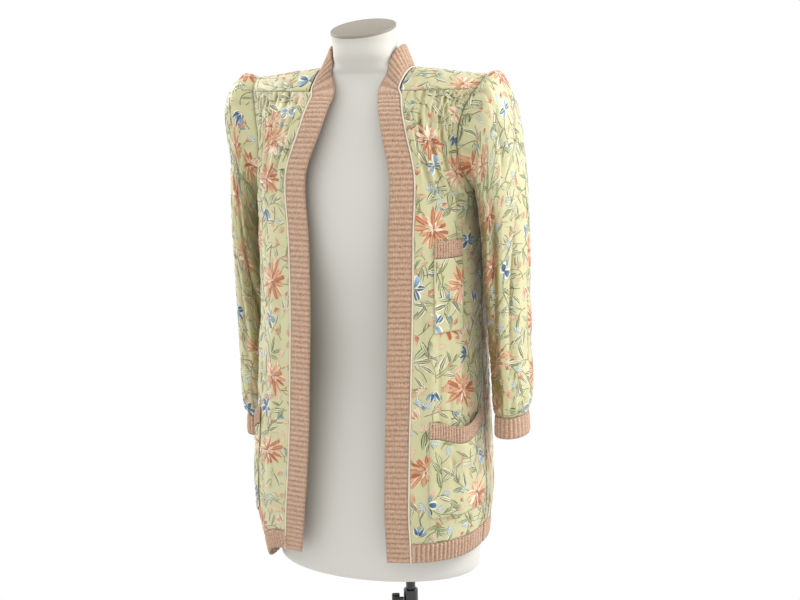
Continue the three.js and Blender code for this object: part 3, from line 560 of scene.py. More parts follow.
def add_cloth(name, cloth, nodes, thick=SILK_THICK, closed=False):
    """A shell of silk on a piece's grid, with its lengths and its painted shade for the material to read."""
    grid = cloth["grid"][:, :-1] if closed else cloth["grid"]
    rows, columns = grid.shape[:2]
    s = cloth["s"][:, :-1] if closed else cloth["s"]
    piece = add_mesh(name, worn(grid.reshape(-1, 3)), grid_faces(rows, columns, closed, cloth["flip"]))
    add_uv(piece, s.ravel(), np.repeat(cloth["t"], columns))
    shade = piece.data.attributes.new("hollow", "FLOAT", "POINT")
    shade.data.foreach_set("value", cloth["hollow"][:, :columns].ravel())
    thicken(piece, thick)
    return finish_piece(piece, silk, "torso", nodes)


def add_node(tree, kind, inputs=(), **settings):
    """A shader node; each input is a number, a colour or the socket that feeds it."""
    node = tree.nodes.new(kind)
    for name, value in settings.items():
        setattr(node, name, value)
    for name, value in dict(inputs).items():
        if isinstance(value, bpy.types.NodeSocket):
            tree.links.new(value, node.inputs[name])
        else:
            node.inputs[name].default_value = value
    return node


def add_math(tree, operation, *values, clamp=False):
    inputs = dict(enumerate(values))
    return add_node(tree, "ShaderNodeMath", inputs, operation=operation, use_clamp=clamp).outputs[0]


def mix_colors(tree, share, first, second):
    inputs = {"Factor": share, "A": first, "B": second}
    return add_node(tree, "ShaderNodeMix", inputs, data_type="RGBA").outputs["Result"]


def read_attribute(tree, name, kind="Fac"):
    return add_node(tree, "ShaderNodeAttribute", attribute_name=name).outputs[kind]


def add_noise(tree, place, scale, detail):
    inputs = {"Vector": place, "Scale": scale, "Detail": detail}
    return add_node(tree, "ShaderNodeTexNoise", inputs).outputs["Fac"]


def bump(tree, height, strength, distance, under=None):
    inputs = {"Height": height, "Strength": strength, "Distance": distance}
    if under:
        inputs["Normal"] = under
    return add_node(tree, "ShaderNodeBump", inputs).outputs["Normal"]


LEMON = linear(192, 187, 141)
PALE_LEMON = linear(207, 203, 161)
# The colour of the painted shade in the silk's hollows and beside the sleeves.
PAINTED_SHADE_OLIVE = linear(126, 98, 26)


def silk_material():
    """Crinkled crepe silk, pale lemon, with a soft sheen; painted golden-olive shade darkens it in its
    hollows and beside the sleeves.
    """
    material = new_material("lemon_silk", linear(204, 195, 148), 0.46)
    tree = material.node_tree
    shader = tree.nodes["Principled BSDF"]
    place = add_node(tree, "ShaderNodeTexCoord").outputs["Object"]
    patches = add_noise(tree, place, 14.0, 3.0)
    ground = mix_colors(tree, patches, (*LEMON, 1), (*PALE_LEMON, 1))
    # Painted shade: the silk darkens to golden olive in its hollows and beside the sleeves, where shade
    # falls.
    sunk = add_math(tree, "MULTIPLY", read_attribute(tree, "hollow"), 0.92)
    shaded = mix_colors(tree, sunk, ground, (*PAINTED_SHADE_OLIVE, 1))
    tree.links.new(shaded, shader.inputs["Base Color"])
    crepe = bump(tree, add_noise(tree, place, 700.0, 2.0), 0.25, 0.0006)
    pucker = bump(tree, add_noise(tree, place, 95.0, 3.0), 0.45, 0.003, crepe)
    tree.links.new(pucker, shader.inputs["Normal"])
    shader.inputs["Sheen Weight"].default_value = 0.12
    shader.inputs["Sheen Roughness"].default_value = 0.4
    return material


silk = silk_material()

BACK_COLUMNS = 38
BACK_FOLDS = [  # column, depth, width in columns, top, foot, sway in columns
    (4, 3.6, 0.6, 1455, 1280, 0.5),
    (5.6, 1.8, 0.4, 1455, 1370, -0.2),
    (7, 4.0, 0.6, 1455, 1180, 0.6),
    (8.6, 2.0, 0.4, 1455, 1340, 0.3),
    (10, 3.3, 0.6, 1455, 1300, -0.4),
    (12.1, 2.2, 0.45, 1455, 1330, 0.3),
    (14, 4.2, 0.6, 1455, 1120, 0.4),
    (15.5, 1.8, 0.4, 1455, 1380, 0),
    (17, 3.5, 0.6, 1455, 1260, -0.3),
    (19.2, 2.1, 0.45, 1455, 1340, 0.2),
    (21, 4.2, 0.6, 1455, 1160, -0.5),
    (22.5, 1.9, 0.4, 1455, 1370, 0.2),
    (24, 3.3, 0.6, 1455, 1290, 0.4),
    (26.1, 2.0, 0.45, 1455, 1350, -0.3),
    (28, 4.0, 0.6, 1455, 1200, -0.4),
    (29.6, 1.8, 0.4, 1455, 1380, 0.1),
    (31, 3.5, 0.6, 1455, 1270, 0.3),
    (34, 3.1, 0.6, 1455, 1310, -0.4),
    (10, 6.5, 1.5, 1150, 690, 0.8),
    (14.5, 3, 1.0, 1020, 690, -0.5),
    (19, 7.5, 1.6, 1100, 690, -0.6),
    (24, 3.2, 1.0, 990, 690, 0.6),
    (28, 6.5, 1.5, 1180, 690, -0.9),
]


def back_point(column, z, rise=0.0):
    column, z = np.broadcast_arrays(np.asarray(column, float), np.asarray(z, float))
    half = BACK_COLUMNS / 2
    rise = rise + fold_rise(BACK_FOLDS, column, z)
    halves = []
    for side in (1, -1):
        end = 180 + SIDE_SEAM_TURN - armhole_turn(side, z)
        turn = end + (180 - end) * (1 - np.abs(column - half) / half)
        halves.append(body_point(side, turn, z, rise))
    return np.where((column < half)[..., None], halves[0], halves[1])


BACK_GRID = 171
BACK_SHADE = 0.45
PANEL_STEP = 5
PANEL_LEVELS = ("low", "waist", "chest")
panel_heights = np.arange(HEM_SEAM + PANEL_STEP, YOKE_SEAM, PANEL_STEP)
panel_heights = np.concatenate([[HEM_SEAM + CURVED_GAP], panel_heights, [YOKE_SEAM]])
back_grid = back_point(np.linspace(0, BACK_COLUMNS, BACK_GRID)[None, :], panel_heights[:, None])
back_creases = [  # from s, t, to s, t, bend, width, depth
    (30, 560, 120, 500, 8, 6, -2.2),
    (540, 560, 450, 505, -8, 6, -2.4),
    (60, 300, 190, 250, 10, 9, 1.6),
    (520, 330, 400, 270, -9, 9, 1.8),
    (210, 210, 330, 190, 6, 10, 1.4),
]
back_gathers = [  # from the wearer's left edge: s, length down, width, depth, sway
    (18, 150, 2.6, 2.8, 2),
    (36, 190, 3.0, 3.6, 4),
    (60, 130, 2.6, 2.8, -2),
    (84, 200, 3.2, 3.8, 5),
    (106, 150, 2.8, 3.0, 0),
    (131, 240, 3.2, 4.0, 6),
    (150, 130, 2.6, 2.8, -2),
    (176, 190, 3.0, 3.6, 3),
    (200, 150, 2.6, 3.0, -3),
    (222, 230, 3.2, 4.0, -5),
    (246, 140, 2.6, 2.8, 2),
    (268, 200, 3.0, 3.6, -4),
    (293, 150, 2.8, 3.0, 0),
    (317, 220, 3.2, 3.8, -6),
    (338, 130, 2.6, 2.8, 2),
    (362, 190, 3.0, 3.6, -4),
    (386, 150, 2.8, 3.0, -2),
    (406, 130, 2.6, 2.6, 0),
]
back_cloth = make_cloth(back_grid, False, back_creases, back_gathers, 0.5)
# Painted shade on the back beside the sleeves, below the arms, joined to the painted shade of its hollows.
beside_sleeve = ease(np.abs(np.linspace(-1, 1, BACK_GRID)), 0.8, 1.0)
below_arm = 1 - ease(panel_heights, 1240, 1330)
shaded = BACK_SHADE * beside_sleeve[None, :] * below_arm[:, None]
back_cloth["hollow"] = np.maximum(back_cloth["hollow"], shaded)
back_solids = [f"back_{half}_{level}" for half in ("left", "right") for level in PANEL_LEVELS]
back = add_cloth("back_panel", back_cloth, back_solids)


# Fronts: the left and right panels of embroidered silk, gathered into the yoke, seamed at the side, with
# their inner edges held by the piping and bands.
FRONT_SEAM = [  # height, distance from the middle on the left, on the right
    (640, 105, 134),
    (690, 106, 128),
    (770, 108, 114),
    (880, 111, 103),
    (1000, 115, 97),
    (1120, 119, 92),
    (1230, 122, 91),
    (1325, 124, 95),
    (1395, 106, 78),
    (1455, 82, 72),
]
FRONT_COLUMNS = 22
FRONT_FOLDS = [  # column, depth, width in columns, top, foot, sway in columns
    (1, 2.0, 0.4, 1455, 1350, 0.1),
    (2, 3.6, 0.55, 1455, 1290, 0.3),
    (3.2, 2.0, 0.4, 1455, 1370, 0),
    (4, 3.0, 0.55, 1455, 1330, 0.2),
    (6, 4.0, 0.6, 1455, 1230, 0.5),
    (7.1, 1.8, 0.4, 1455, 1380, 0),
    (8, 3.2, 0.55, 1455, 1310, -0.2),
    (9.6, 2.2, 0.45, 1455, 1360, 0.2),
    (11, 4.2, 0.65, 1455, 1215, 0.4),
    (13, 3.2, 0.55, 1455, 1320, -0.3),
    (14.5, 2.2, 0.45, 1455, 1350, 0.2),
    (16, 4.0, 0.65, 1455, 1250, 0.3),
    (18, 3.0, 0.55, 1455, 1330, -0.3),
    (20, 2.0, 0.5, 1455, 1380, 0),
    (4.5, 4.0, 1.3, 1120, 700, 0.5),
    (8.6, 2.0, 0.9, 1000, 700, 0.4),
    (12.5, 4.4, 1.5, 1040, 700, -0.6),
]


def front_seam_x(side, z):
    row = read_table(FRONT_SEAM, z)
    return row[..., 0] if side > 0 else row[..., 1]


def turn_from_seam(side, z, distance):
    turn = turn_at_width(side, front_seam_x(side, z), z)
    step = section_point(side, turn + 0.5, z) - section_point(side, turn - 0.5, z)
    return turn + distance / np.linalg.norm(step, axis=-1)


def front_point(side, column, z, rise=0.0):
    column, z = np.broadcast_arrays(np.asarray(column, float), np.asarray(z, float))
    start = turn_from_seam(side, z, SEAM_HALF)
    end = armhole_turn(side, z) - SIDE_SEAM_TURN
    turn = start + (end - start) * column / FRONT_COLUMNS
    return body_point(side, turn, z, rise + fold_rise(FRONT_FOLDS, column, z))


front_creases = {  # from s, t, to s, t, bend, width, depth
    1: [
        (185, 590, 110, 520, 6, 6, -2.0),
        (190, 640, 120, 600, 8, 7, -1.8),
        (40, 420, 150, 380, -8, 9, 1.3),
        (60, 160, 180, 110, 6, 10, 1.2),
    ],
    -1: [
        (200, 600, 120, 540, 6, 6, -2.2),
        (190, 330, 90, 250, -10, 9, 1.6),
        (30, 180, 150, 60, 8, 10, 1.8),
    ],
}
front_gathers = {  # s, length down, width, depth, sway
    1: [
        (6, 120, 2.4, 2.6, 2),
        (14, 175, 3.0, 4.0, 2),
        (24, 215, 3.2, 4.6, 1),
        (33, 110, 2.4, 2.6, 0),
        (41, 180, 3.0, 4.0, -1),
        (52, 130, 2.6, 3.0, -1),
        (63, 230, 3.2, 4.6, -2),
        (76, 200, 3.0, 4.2, 1),
        (89, 130, 2.6, 3.0, -2),
        (102, 120, 2.6, 3.0, -8),
        (116, 70, 2.6, 2.6, -5),
    ],
    -1: [
        (8, 150, 2.8, 3.4, 3),
        (19, 220, 3.2, 4.4, 4),
        (31, 120, 2.6, 2.8, 2),
        (43, 200, 3.2, 4.2, 5),
        (57, 140, 2.8, 3.2, 2),
        (69, 240, 3.2, 4.6, 6),
        (83, 150, 2.8, 3.2, 0),
        (97, 180, 3.0, 3.8, -3),
        (113, 120, 2.6, 2.8, -5),
        (127, 80, 2.6, 2.6, -6),
    ],
}
FRONT_GRID = 76
FRONT_SHADE = 0.3
front_cloths = {}
for side, word in ((1, "left"), (-1, "right")):
    columns = np.linspace(0, FRONT_COLUMNS, FRONT_GRID)
    grid = front_point(side, columns[None, :], panel_heights[:, None])
    cloth = make_cloth(grid, side < 0, front_creases[side], front_gathers[side])
    # Painted shade on each front beside its sleeve, below the arm.
    beside_sleeve = ease(columns / FRONT_COLUMNS, 0.84, 1.0)
    below_arm = 1 - ease(panel_heights, 1200, 1300)
    shaded = FRONT_SHADE * beside_sleeve[None, :] * below_arm[:, None]
    cloth["hollow"] = np.maximum(cloth["hollow"], shaded)
    front_cloths[side] = cloth
    solids = [f"front_{word}_{level}" for level in PANEL_LEVELS]
    piece = add_cloth(f"front_panel_{word}", cloth, solids)


# Yokes: a piece over each shoulder from the front seam to the back seam, and one across the back of the
# neck, all of the same embroidered silk, lying flat over the shoulders.
NECK_EDGE = [  # x, y, lean of the band in degrees
    (77, -61, 30),
    (77, -48, 42),
    (78, -32, 56),
    (79, -12, 66),
    (77, 8, 69),
    (71, 26, 69),
    (58, 44, 68),
    (38, 57, 68),
    (18, 64, 68),
    (0.3, 66, 68),
]
NECK_CORNER = 60
NECK_CLEAR = 2.8
YOKE_EDGE = 0.992
RIDGE_TOP = 1491
RIDGE_FALL = 15
RIDGE_NEAR_X = 60
RIDGE_FAR_X = 230
TIP_X = 190
TIP_GAP = 0.5
NECK_SIDE_X = 80
YOKE_GRID = 30


def ridge_height(x):
    return RIDGE_TOP - RIDGE_FALL * ease(np.abs(x), RIDGE_NEAR_X, RIDGE_FAR_X)


def yoke_depth(x, y):
    row = read_table(BODY, np.full(np.shape(x), float(YOKE_SEAM)))
    out = np.clip(np.abs(x) / row[..., 0], 0, 1)
    depth = np.where(np.asarray(y) < 0, row[..., 2], row[..., 3])
    return depth * (1 - out ** row[..., 4]) ** (1 / row[..., 4])


def yoke_point(x, share):
    x, share = np.broadcast_arrays(np.asarray(x, float), np.asarray(share, float))
    ridge = ridge_height(x)
    return np.stack([x, share * yoke_depth(x, share), ridge - (ridge - YOKE_SEAM) * share**2], -1)


def yoke_rows(side, count):
    rows = []
    edge = np.array(NECK_EDGE, float)
    for share in np.linspace(-YOKE_EDGE, YOKE_EDGE, count):
        height = yoke_point(TIP_X, share)[2]
        tip = read_table(ARMHOLE, height)[0] - TIP_GAP
        neck = np.interp(share * yoke_depth(NECK_SIDE_X, share), edge[:, 1], edge[:, 0])
        near = max(neck, NECK_CORNER) + SEAM_HALF + NECK_CLEAR
        row = yoke_point(np.linspace(near, tip, YOKE_GRID), share)
        row[:, 0] *= side
        rows.append(row)
    return np.array(rows)


yoke_cloths = {}
for side, word in ((1, "left"), (-1, "right")):
    yoke_cloths[side] = make_cloth(yoke_rows(side, YOKE_GRID), side < 0)
    piece = add_cloth(f"yoke_panel_{word}", yoke_cloths[side], [f"yoke_{word}"])

neck_half = NECK_CORNER + SEAM_HALF + NECK_CLEAR - SEAM_GAP
neck_columns = np.linspace(neck_half, -neck_half, 28)
neck_back = np.array(NECK_EDGE[::-1], float)
neck_y = np.interp(np.minimum(np.abs(neck_columns), NECK_CORNER), neck_back[:, 0], neck_back[:, 1])
share_top = (neck_y + SEAM_HALF + NECK_CLEAR) / yoke_depth(neck_columns, 1.0)
ups = np.linspace(0, 1, 5)[:, None]
neck_grid = yoke_point(neck_columns[None, :], YOKE_EDGE + (share_top[None, :] - YOKE_EDGE) * ups)
back_neck_cloth = make_cloth(neck_grid, False)
piece = add_cloth("yoke_panel_back", back_neck_cloth, ["yoke_back"])


# Front bands: rib knit, folded double and sewn on along the piping, up both fronts and round the neck,
# with the ribs running across.
BAND_WIDTH = 38
BAND_RIB = 8.8
BAND_RISE = 1.3
KNIT_THICK = 1.8
RIB_POINTS = 8
STITCH_WIDE = 0.0044
STITCH_LONG = 0.0026
NECK_MIDDLE_Y = -12


def knit_material():
    """Rib knit in a dusty peach yarn: rows of slanted stitches, with painted shade between the ribs and
    stitches and painted light on their crests.
    """
    material = new_material("peach_knit", linear(212, 168, 132), 0.85)
    tree = material.node_tree
    shader = tree.nodes["Principled BSDF"]
    ridge = read_attribute(tree, "ridge")
    lengths = add_node(tree, "ShaderNodeUVMap", uv_map="lengths").outputs["UV"]
    split = add_node(tree, "ShaderNodeSeparateXYZ", {"Vector": lengths})
    place = add_node(tree, "ShaderNodeTexCoord").outputs["Object"]
    fleck = add_noise(tree, place, 320.0, 2.0)
    slant = add_math(tree, "MULTIPLY", split.outputs["X"], 2 * math.pi / STITCH_WIDE)
    lean = add_math(tree, "MULTIPLY", add_math(tree, "COSINE", slant), 1.1)
    along = add_math(tree, "MULTIPLY", split.outputs["Y"], 2 * math.pi / STITCH_LONG)
    stitch = add_math(tree, "SINE", add_math(tree, "ADD", along, lean))
    shade = add_math(tree, "MULTIPLY_ADD", fleck, 1.3, -0.4)
    loops = add_math(tree, "MULTIPLY_ADD", stitch, 0.16, shade)
    lift = add_math(tree, "MULTIPLY_ADD", ridge, 0.5, loops)
    # Painted light and shade: lighter on the rib crests and the stitches' raised sides, darker between them,
    # with random flecks.
    ramp = add_node(tree, "ShaderNodeValToRGB", {"Fac": lift})
    ramp.color_ramp.elements[0].position = 0.05
    ramp.color_ramp.elements[0].color = (*linear(176, 128, 96), 1)
    ramp.color_ramp.elements[1].position = 0.95
    ramp.color_ramp.elements[1].color = (*linear(238, 200, 168), 1)
    tree.links.new(ramp.outputs["Color"], shader.inputs["Base Color"])
    rows = bump(tree, stitch, 0.8, 0.0011)
    tree.links.new(bump(tree, fleck, 0.3, 0.0006, rows), shader.inputs["Normal"])
    shader.inputs["Sheen Weight"].default_value = 0.35
    shader.inputs["Sheen Roughness"].default_value = 0.5
    return material


knit = knit_material()


def add_ribs(name, grid, flip, rise, nodes, thick=KNIT_THICK, closed=False):
    """A rib-knit strip: the grid's rows run along it, and each rib is a rounded ridge across it. The
    strip thins towards its two long edges."""
    sign = -1 if flip else 1
    if closed:
        turned = grid_normals(np.transpose(grid, (1, 0, 2)), True)
        normal = -np.transpose(turned, (1, 0, 2))
    else:
        normal = grid_normals(grid)
    pitches = np.arange(len(grid)) / RIB_POINTS
    ridge = (0.5 - 0.5 * np.cos(2 * math.pi * pitches)) ** 0.75
    across = np.linspace(-1, 1, grid.shape[1])
    edge = 1 - 0.55 * np.abs(across) ** 6
    lift = ridge[:, None] * edge[None, :] * rise - 0.5 * (1 - edge[None, :])
    points = grid + sign * normal * lift[..., None]
    rows, columns = grid.shape[:2]
    faces = grid_faces(rows, columns, False, flip)
    if closed:
        last = (rows - 1) * columns
        seam = [(last + i, last + i + 1, i + 1, i) for i in range(columns - 1)]
        seam = np.array(seam)[:, ::-1] if flip else np.array(seam)
        faces = np.concatenate([faces, seam])
    piece = add_mesh(name, worn(points.reshape(-1, 3)), faces)
    step = np.linalg.norm(np.diff(grid[:, columns // 2], axis=0), axis=-1)
    along = np.concatenate([[0], np.cumsum(step)])
    width = np.linalg.norm(grid[rows // 2, 0] - grid[rows // 2, -1])
    add_uv(piece, np.repeat(along, columns), np.tile((across + 1) / 2 * width, rows))
    # The ridge mark gives the knit its painted light and shade: light on the rib crests, dark between the
    # ribs and towards the strip's long edges.
    mark = piece.data.attributes.new("ridge", "FLOAT", "POINT")
    mark.data.foreach_set("value", (ridge[:, None] * (0.6 + 0.4 * edge[None, :])).ravel())
    thicken(piece, thick)
    return finish_piece(piece, knit, "torso", nodes)


def band_frames(side):
    """Seam points and directions across the band, from the hem up and round the neck."""
    z = np.concatenate([np.arange(HEM_LOW, 1440, 12.0), [1448]])
    seam = body_point(side, turn_from_seam(side, z, 0), z)
    inner = body_point(side, turn_from_seam(side, z, -BAND_WIDTH), z)
    across = (inner - seam) / np.linalg.norm(inner - seam, axis=-1, keepdims=True)
    neck_seam, neck_across = [], []
    for x, y, lean in NECK_EDGE:
        point = yoke_point(x, y / yoke_depth(x, y))
        inward = np.array([0.0 if x < 1 else -x, NECK_MIDDLE_Y - y, 0])
        direction = inward / np.linalg.norm(inward) * math.cos(math.radians(lean))
        direction[2] = math.sin(math.radians(lean))
        neck_seam.append(point * (side, 1, 1))
        neck_across.append(direction * (side, 1, 1))
    seams = np.concatenate([seam, neck_seam])
    leans = np.concatenate([across, neck_across])
    length = np.concatenate([[0], np.cumsum(np.linalg.norm(np.diff(seams, axis=0), axis=-1))])
    count = int(round(length[-1] / BAND_RIB))
    table = np.concatenate([length[:, None], seams, leans], 1)
    even = np.linspace(0, length[-1], count * RIB_POINTS + 1)
    curve = read_table(table, even)
    leans = curve[:, 3:] / np.linalg.norm(curve[:, 3:], axis=-1, keepdims=True)
    return curve[:, :3], leans


for side, word in ((1, "left"), (-1, "right")):
    seams, leans = band_frames(side)
    out = SEAM_HALF + SEAM_GAP + np.linspace(0, BAND_WIDTH, 11)
    grid = seams[:, None, :] + leans[:, None, :] * out[None, :, None]
    piece = add_ribs(f"rib_band_{word}", grid, side > 0, BAND_RISE, [f"band_{word}"])


# Piping: a narrow cord covered in cream silk, caught in the seam between each front and its band.
def add_tube(name, path, radius, material, nodes, sides=8):
    """A closed round cord along a path of points in millimetres."""
    tangent = np.gradient(path, axis=0)
    tangent /= np.linalg.norm(tangent, axis=-1, keepdims=True)
    upright = np.tile([0.0, 1.0, 0.0], (len(path), 1))
    first = np.cross(tangent, upright)
    first /= np.maximum(np.linalg.norm(first, axis=-1, keepdims=True), 1e-6)
    second = np.cross(tangent, first)
    angles = np.linspace(0, 2 * math.pi, sides, endpoint=False)
    ring = first[:, None, :] * np.cos(angles)[None, :, None]
    ring = ring + second[:, None, :] * np.sin(angles)[None, :, None]
    points = (path[:, None, :] + radius * ring).reshape(-1, 3)
    faces = [tuple(face) for face in grid_faces(len(path), sides, True)]
    low, top = len(points), len(points) + 1
    start = (len(path) - 1) * sides
    points = np.concatenate([points, path[:1], path[-1:]])
    for i in range(sides):
        after = (i + 1) % sides
        faces.append((i, low, after))
        faces.append((start + i, start + after, top))
    piece = add_mesh(name, worn(points), faces)
    return finish_piece(piece, material, "torso", nodes)


PIPING_RADIUS = 1.5
PIPING_RISE = 0.6
piping_silk = new_material("cream_piping", linear(226, 212, 190), 0.45)
piping_silk.node_tree.nodes["Principled BSDF"].inputs["Sheen Weight"].default_value = 0.3
for side, word in ((1, "left"), (-1, "right")):
    seams, leans = band_frames(side)
    normal = np.cross(np.gradient(seams, axis=0), leans)
    normal *= (-1 if side > 0 else 1) / np.linalg.norm(normal, axis=-1, keepdims=True)
    path = (seams + normal * PIPING_RISE)[::2]
    add_tube(f"piping_cord_{word}", path, PIPING_RADIUS, piping_silk, [f"piping_{word}"])


# Hem rib: the same knit, with upright ribs, sewn to the panels' lower edges in three lengths.
HEM_RISE = 2.4
FRONT_HEM_RIBS = 20
BACK_HEM_RIBS = 50


def hem_grid(points_at, turns):
    heights = np.linspace(HEM_LOW, HEM_SEAM, 9)
    return points_at(turns[:, None], heights[None, :])


for side, word in ((1, "left"), (-1, "right")):
    start = turn_from_seam(side, np.array(float(HEM_SEAM)), SEAM_HALF)
    turns = np.linspace(float(start), 90 - SIDE_SEAM_TURN, FRONT_HEM_RIBS * RIB_POINTS + 1)
    grid = hem_grid(lambda turn, z: body_point(side, turn, z), turns)
    piece = add_ribs(f"hem_rib_{word}", grid, side > 0, HEM_RISE, [f"hem_{word}"])


def back_hem_point(turn, z):
    left = body_point(1, np.minimum(turn, 180), z)
    right = body_point(-1, 360 - np.maximum(turn, 180), z)
    return np.where((turn < 180)[..., None], left, right)


turns = np.linspace(90 + SIDE_SEAM_TURN, 270 - SIDE_SEAM_TURN, BACK_HEM_RIBS * RIB_POINTS + 1)
piece = add_ribs("hem_rib_back", hem_grid(back_hem_point, turns), True, HEM_RISE, ["hem_back"])


# Sleeves: one piece each, with a full head gathered into the armhole, hanging in soft folds and gathered
# again into the cuff.
CUFF_SEAM = 908
SLEEVE = [  # outer x, outer z, inner x, inner z, half depth
    (220, 1480, 191.5, 1284, 69),
    (231, 1466, 194, 1275, 73),
    (243, 1439, 196.5, 1260, 74),
    (252, 1402, 198, 1240, 73),
    (259, 1358, 199, 1212, 70),
    (265, 1298, 200, 1172, 67),
    (267, 1212, 200.5, 1120, 63),
    (266, 1120, 201.5, 1060, 60),
    (266, 1030, 204, 1000, 57),
    (266, 960, 206, 950, 53),
    (264, 925, 208, 922, 47),
    (260, CUFF_SEAM, 211, CUFF_SEAM, 42),
]
SLEEVE_HANG = {  # drop, back, cuff out, middle out, head out
    1: (-14, 6, 3, 0, 0),
    -1: (24, 24, 0, -12, 12),
}


SLEEVE_SQUARE = 2.1
HEAD_LOW = 1320
HEAD_TOP = 1450
BESIDE_BODY_X = 198
FREE_OF_BODY_X = 232
SHOULDER_TIP = 1479
ARMHOLE_GAP = 0.4
LOOP_STRETCH = 1.4
SEAM_TURN = 3
EVEN_RING = 6
SLEEVE_GRID = 97
SLEEVE_STEP = 5.0
SLEEVE_ORIGIN = 0.66
SLEEVE_SHADE = {1: 0.95, -1: 0.6}


def sleeve_point(side, row, angle):
    """A point on one of the sleeve's rings, whose outline is a softened square."""
    top_x, top_z, low_x, low_z, half = row
    up, forward = np.cos(angle), np.sin(angle)
    highest = np.sign(up) * np.abs(up) ** (2 / SLEEVE_SQUARE)
    depth = np.sign(forward) * np.abs(forward) ** (2 / SLEEVE_SQUARE)
    x = (top_x + low_x) / 2 + (top_x - low_x) / 2 * highest
    z = (top_z + low_z) / 2 + (top_z - low_z) / 2 * highest
    drop, back, cuff_out, middle_out, head_out = SLEEVE_HANG[side]
    low = 1 - ease(z, CUFF_SEAM, UNDERARM)
    head = ease(z, HEAD_LOW, HEAD_TOP)
    out = cuff_out * low + middle_out * (1 - low) * (1 - head) + head_out * head
    clear = np.where((z > UNDERARM) | (out < 0), ease(x, BESIDE_BODY_X, FREE_OF_BODY_X), 1.0)
    return np.stack([side * (x + out * clear), back * low - half * depth, z - drop * low], -1)


def armhole_loop(side, count):
    """The armhole's edge, starting under the arm, up the back, over the shoulder and down the front."""
    z = np.linspace(UNDERARM, YOKE_SEAM, 40)
    turn = armhole_turn(side, z)
    front = body_point(side, turn, z)
    behind = body_point(side, 180 - turn, z)
    over = yoke_rows(side, 21)[:, -1]
    loop = np.concatenate([behind, over[::-1][1:-1], front[::-1]])
    length = np.concatenate([[0], np.cumsum(np.linalg.norm(np.diff(loop, axis=0), axis=-1))])
    even = np.linspace(0, length[-1], count)
    loop = np.stack([np.interp(even, length, loop[:, k]) for k in range(3)], -1)
    loop[:, 0] += side * ARMHOLE_GAP
    return loop


def sleeve_grid(side, columns, step):
    loop = armhole_loop(side, columns)
    seen = np.arctan2(-loop[:, 1] * LOOP_STRETCH, loop[:, 2] - (SHOULDER_TIP + UNDERARM) / 2)
    seen = np.where(seen > 0, seen - 2 * math.pi, seen)
    seen = np.unwrap(seen)
    seen = -math.pi + (seen - seen[0]) * 2 * math.pi / (seen[-1] - seen[0])
    even = np.linspace(-math.pi, math.pi, columns)
    rings = [loop, loop + (side * SEAM_TURN, 0, 0)]
    for k, row in enumerate(SLEEVE):
        share = min((k + 1) / EVEN_RING, 1)
        rings.append(sleeve_point(side, row, seen + (even - seen) * share))
    rings = np.array(rings)
    gaps = np.linalg.norm(np.diff(rings, axis=0), axis=-1).mean(1)
    length = np.concatenate([[0], np.cumsum(gaps)])
    table = np.concatenate([length[:, None], rings.reshape(len(rings), -1)], 1)
    rows = read_table(table, np.linspace(0, length[-1], int(length[-1] / step)))
    return rows.reshape(len(rows), columns, 3)


sleeve_creases = {  # across from the underarm round the back to the front, up from armhole to cuff
    1: [
        (240, 225, 178, 560, 0, 9, -7.0),
        (340, 165, 214, 558, 3, 15, -13.0),
        (300, 200, 218, 420, 0, 9, 3.0),
        (215, 200, 150, 470, 6, 9, 2.4),
        (180, 230, 128, 520, -5, 9, -4.0),
        (335, 60, 300, 170, 10, 7, -2.8),
        (300, 40, 282, 150, -8, 6, 2.4),
        (380, 120, 330, 190, 8, 7, -2.8),
        (262, 40, 246, 190, 4, 7, -2.6),
        (225, 30, 216, 160, -4, 7, 2.4),
        (120, 120, 180, 230, 9, 8, -2.6),
        (90, 330, 140, 400, -8, 8, -2.6),
        (110, 430, 160, 500, 8, 7, -2.4),
        (60, 200, 90, 420, 5, 9, -3.4),
    ],
    -1: [
        (360, 130, 268, 520, -3, 9, -5.5),
        (325, 160, 240, 470, 4, 9, 3.0),
        (300, 120, 210, 560, 0, 8, -5.0),
        (230, 200, 170, 520, 7, 9, -3.6),
        (330, 70, 296, 190, -9, 7, -2.8),
        (385, 200, 300, 330, 9, 8, -3.0),
        (300, 400, 240, 500, 6, 8, -2.6),
        (130, 110, 190, 220, -9, 8, -2.6),
        (95, 350, 150, 440, 8, 8, -2.6),
        (60, 190, 90, 420, 5, 9, -3.4),
        (250, 30, 238, 170, 4, 7, -2.6),
    ],
}


HEAD_TUCKS = 22
HEAD_SPREAD = 118
CUFF_TUCKS = 18


def sleeve_gathers(grid, seed):
    """Small tucks round the head of the sleeve and above the cuff, of uneven width and depth."""
    rng = random.Random(seed)
    rows, columns = grid.shape[:2]
    share = np.linspace(0, 1, rows)[:, None]
    angle = np.linspace(-math.pi, math.pi, columns)[None, :]
    rise = np.zeros((rows, columns))
    for k in range(HEAD_TUCKS):
        degrees_round = 2 * HEAD_SPREAD * (k + 0.35 * rng.uniform(-1, 1)) / (HEAD_TUCKS - 1)
        middle = math.radians(-HEAD_SPREAD + degrees_round)
        reach = rng.uniform(0.10, 0.22)
        deep = rng.uniform(1.6, 3.2)
        fade = ease(share, 0.0, 0.025) * (1 - ease(share, 0.04, reach))
        rise += deep * fade * bell(angle, middle, math.radians(rng.uniform(3.2, 4.6)))
    for k in range(CUFF_TUCKS):
        middle = -math.pi + 2 * math.pi * (k + 0.5 + 0.3 * rng.uniform(-1, 1)) / CUFF_TUCKS
        reach = rng.uniform(0.10, 0.24)
        deep = rng.uniform(1.4, 3.0)
        fade = (1 - ease(share, 0.975, 1.0)) * ease(share, 1 - reach, 0.96)
        rise += deep * fade * bell(angle, middle, math.radians(rng.uniform(4.5, 7)))
    return rise


